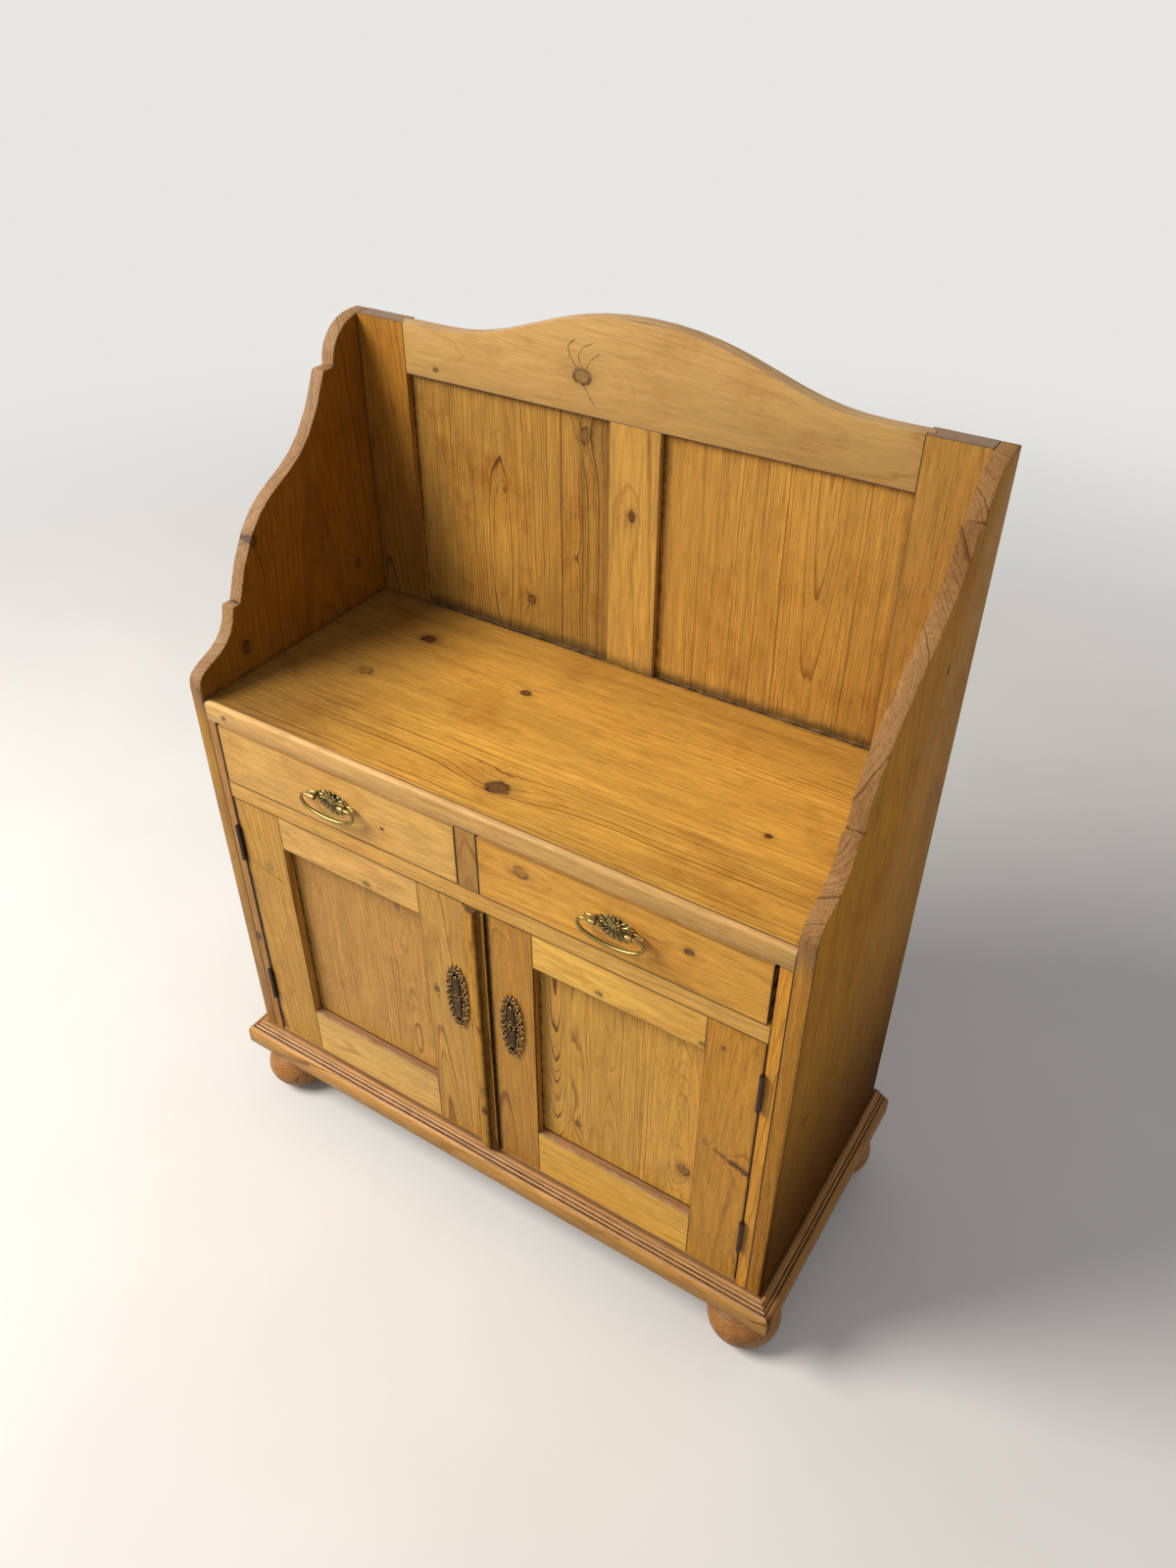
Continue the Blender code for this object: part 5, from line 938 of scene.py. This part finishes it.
onCover = partial(plateSpot, escutcheon)
castings = []
inset = escutcheon["ring"] + 2.0
for k, turn in enumerate(evenTurns(escutcheon["rings"] * 2, inset)):
    if k % 2 == 0:
        # a curl with a berry on its back
        tilt, berry = (-14, 2.7) if k % 4 else (14, 2.1)
        castings += [addRing(onOval(turn, inset, 1.7), escutcheon["ring"], escutcheon["wire"], 18,
                             (90 + tilt, 0, 0)),
                     addBead(onOval(turn, 1.2, 2.2), berry, 0.8), addBead(onOval(turn, 11, 2.0), 2.0, 0.8)]
    else:
        castings += [addBead(onOval(turn, 4.6, 2.0), 2.3, 0.8), addBead(onOval(turn, 11, 1.6), 1.5, 0.8)]
# backing plate, pierced only between the curls
backing = addDisc(escutcheon, 64, escutcheon["halfWide"] - 7.5, escutcheon["halfHigh"] - 8, fill_type="NGON")
bpy.ops.mesh.extrude_region_move(TRANSFORM_OT_translate={"value": (0, -0.9 * mm, 0)})
toObjectMode()
castings.append(backing)
# cross scrolls tie the border to the spine
for z in escutcheon["scrolls"]:
    for side in (-8, 8):
        castings.append(addRing(onCover(side, 1.6, z), 2.4, 1.0, 16))
thick, high = escutcheon["spineThick"], escutcheon["spineHigh"]
middle = onCover(0, 0, 0)
bpy.ops.mesh.primitive_cube_add(size=1.0, location=onCover(0, thick / 2, 0))
spine = bpy.context.object
spine.scale = (escutcheon["spineWide"] * mm, thick * mm, high * mm)
bpy.ops.object.transform_apply(location=False, rotation=False, scale=True)
editAll(spine)
bpy.ops.mesh.bisect(plane_co=middle, plane_no=(0, 0, 1))
for side in (-1, 1):
    selectVerts(spine, lambda spot: spot.z * side > high * mm * 0.4)
    bpy.ops.transform.resize(value=(escutcheon["taper"], 1, 1), center_override=middle)
bpy.ops.mesh.select_all(action="SELECT")
bpy.ops.mesh.bevel(offset=0.9 * mm, segments=3, affect="EDGES")
toObjectMode()
# a rim round the keyhole's head
castings += [spine, addRing(onCover(0, thick, 0), 5.4, 1.1, 28, wireSides=10)]
for end in (-1, 1):
    castings += [addBead(onCover(0, 2.4, end * 41), 3.0, 0.7),
                 addBead(onCover(0, 1.5, end * 64.3), 2.8, 0.75)]
for side in (-1, 1):
    # a collar clasps the spine at the keyhole's level
    castings.append(addRod(onCover(side * 4, 3.4, 3), onCover(side * 11, 1.5, 6), 1.3, 12))
castings.append(addBead(onCover(0, 3.5, 12), 2.0, 0.6))
for casting in castings:
    dress(casting, plateBronze if casting in (spine, backing) else bronze)
covers = {"left": joinPieces("door_left_escutcheon_casting", castings)}
covers["right"] = copyMoved(covers["left"], "door_right_escutcheon_casting", escutcheon["otherDoor"])
# only the right one has its keyhole open
kx, kz = (escutcheon["middle"][i] + escutcheon["otherDoor"][i * 2] for i in (0, 1))
bore = addRod((kx * mm, -230 * mm, kz * mm), (kx * mm, -205 * mm, kz * mm), 4.2)
bpy.ops.mesh.primitive_cube_add(size=1.0, location=(kx * mm, -217.5 * mm, (kz - 5.5) * mm))
slit = bpy.context.object
slit.scale = (4.4 * mm, 25 * mm, 11 * mm)
keyhole = joinPieces("keyhole_cutter", [bore, slit])
cut = covers["right"].modifiers.new("keyhole", "BOOLEAN")
cut.object = keyhole
cut.operation = "DIFFERENCE"
cut.solver = "EXACT"
cut.use_self = True
pick(covers["right"])
bpy.ops.object.modifier_apply(modifier="keyhole")
bpy.data.objects.remove(keyhole)
for side, cover in covers.items():
    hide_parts(f"door_{side}_escutcheon")
    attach(cover, f"door_{side}")
print("escutcheons cast")


# feet, in mm: turned balls, flattened; above the shoulder each (radius, height) of neck, collar and tenon
foot = {"radius": 58, "belly": 42, "tall": 46, "shoulder": 81,
        "top": ((28.5, 82.5), (27, 89), (34, 93), (36, 96), (36, 107), (33.5, 109.7), (12.5, 110),
                (12.5, 136))}
for corner in ("front_left", "front_right", "back_left", "back_right"):
    name = "foot_" + corner
    low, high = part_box(name)
    middle = (low + high) / 2
    selectNone()
    bpy.ops.mesh.primitive_uv_sphere_add(segments=72, ring_count=40, radius=foot["radius"] * mm,
                                         location=(middle.x, middle.y, foot["belly"] * mm))
    piece = bpy.context.object
    piece.name = name + "_turned"
    editAll(piece)
    bpy.ops.transform.resize(value=(1, 1, foot["tall"] / foot["radius"]))
    for level, way in ((0, -1), (foot["shoulder"], 1)):
        bpy.ops.mesh.select_all(action="SELECT")
        bpy.ops.mesh.bisect(plane_co=(middle.x, middle.y, level * mm), plane_no=(0, 0, way), clear_outer=True,
                            use_fill=True)
    # the top face is now selected: neck, collar and tenon grow out of it
    wide = foot["radius"] * math.sqrt(1 - ((foot["shoulder"] - foot["belly"]) / foot["tall"]) ** 2)
    for radius, height in foot["top"]:
        now = max(v.co.z for v in bmesh.from_edit_mesh(piece.data).verts) + piece.location.z
        bpy.ops.mesh.extrude_region_move(TRANSFORM_OT_translate={"value": (0, 0, height * mm - now)})
        bpy.ops.transform.resize(value=(radius / wide, radius / wide, 1),
                                 center_override=(middle.x, middle.y, height * mm))
        wide = radius
    bpy.ops.mesh.select_all(action="SELECT")
    bpy.ops.mesh.normals_make_consistent(inside=False)
    toObjectMode()
    bpy.ops.object.transform_apply(location=True, rotation=True, scale=True)
    bpy.ops.object.shade_smooth_by_angle(angle=math.radians(30))
    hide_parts(name)
    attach(piece, bodyOf[name])
    seed = 60 + len(corner) + int(middle.x > 0) * 3
    dress(piece, makePine("turned pine, " + name.replace("_", " "), (low, high), "z", "-y", seed,
                          early="#B47A36", late="#5C3410", ringStrength=1.15, ringWidth=2.8, pith=(8, -5),
                          gloss=0.5, wander=6, wear=0.0, mottle=0.5, tone=0.98))
print("feet turned")


# floor, lamps and camera
def seenBy(add):
    # 1 for what the camera sees, directly or in a reflection; 0 for light that bounces
    ray = add("LightPath").outputs
    glass = add("Math", "MAXIMUM", ray["Is Glossy Ray"], ray["Is Transmission Ray"])
    return add("Math", "MAXIMUM", ray["Is Camera Ray"], glass)


paleGrey = srgb("#E9E7E3")
bpy.ops.mesh.primitive_plane_add(size=30, location=(0, 0, 0))
floor = bpy.context.object
floor.name = "floor"
floorMaterial, add = startMaterial("pale floor")
seen = seenBy(add)
spots = add("TexCoord").outputs["Object"]
away = add("VectorMath", "LENGTH", spots)
fade = add("MapRange", away, 1.2, 4.5, **smooth)
cloudy = add("TexNoise", Vector=spots, Scale=2.5, Detail=5.0)
paleTone = add("MapRange", cloudy, 0.3, 0.7, 0.79, 0.83)
pale = add("CombineColor", paleTone, paleTone, paleTone)
near = add("BsdfDiffuse", Color=pale)
far = add("Emission", Color=paleGrey, Strength=1.0)
view = add("MixShader", fade, near, far)
dim = add("BsdfDiffuse", Color=srgb("#5E5B57"))
ground = add("MixShader", seen, dim, view)
add("OutputMaterial", Surface=ground)
dress(floor, floorMaterial)

world = bpy.data.worlds.new("studio")
bpy.context.scene.world = world
world.use_nodes = True
world.node_tree.nodes.clear()
add = partial(addNode, world.node_tree)
seen = seenBy(add)
lit = add("Background", Color=srgb("#F4F1EC"), Strength=0.36)
shown = add("Background", Color=paleGrey, Strength=1.0)
both = add("MixShader", seen, lit, shown)
add("OutputWorld", Surface=both)


def hangLamp(name, spot, aim, size, watts, colour):
    data = bpy.data.lights.new(name, "AREA")
    data.shape = "DISK"
    data.size = size
    data.energy = watts
    data.color = srgb(colour)[:3]
    lamp = bpy.data.objects.new(name, data)
    bpy.context.scene.collection.objects.link(lamp)
    lamp.location = spot
    lamp.rotation_euler = (Vector(aim) - Vector(spot)).to_track_quat("-Z", "Y").to_euler()


hangLamp("window side", (-2.5, -2.0, 3.3), (0, 0, 0.75), 2.2, 205, "#FFF8EE")
hangLamp("room side", (2.2, -2.6, 2.4), (0, 0, 0.7), 2.5, 10, "#FFFDF8")

camera = bpy.data.cameras.new("camera")
camera.lens = 27.672
camera.sensor_width = 36
viewer = bpy.data.objects.new("camera", camera)
bpy.context.scene.collection.objects.link(viewer)
toRight = Vector((0.843611, 0.536948, 0.002822))
toDown = Vector((0.328903, -0.512578, -0.793150))
ahead = Vector((-0.424434, 0.670038, -0.609020))
stand = Matrix.Translation((0.79419, -1.16110, 1.85152))
viewer.matrix_world = stand @ Matrix((toRight, -toDown, -ahead)).transposed().to_4x4()
bpy.context.scene.camera = viewer
bpy.context.scene.view_settings.view_transform = "Standard"
print("room and camera ready")
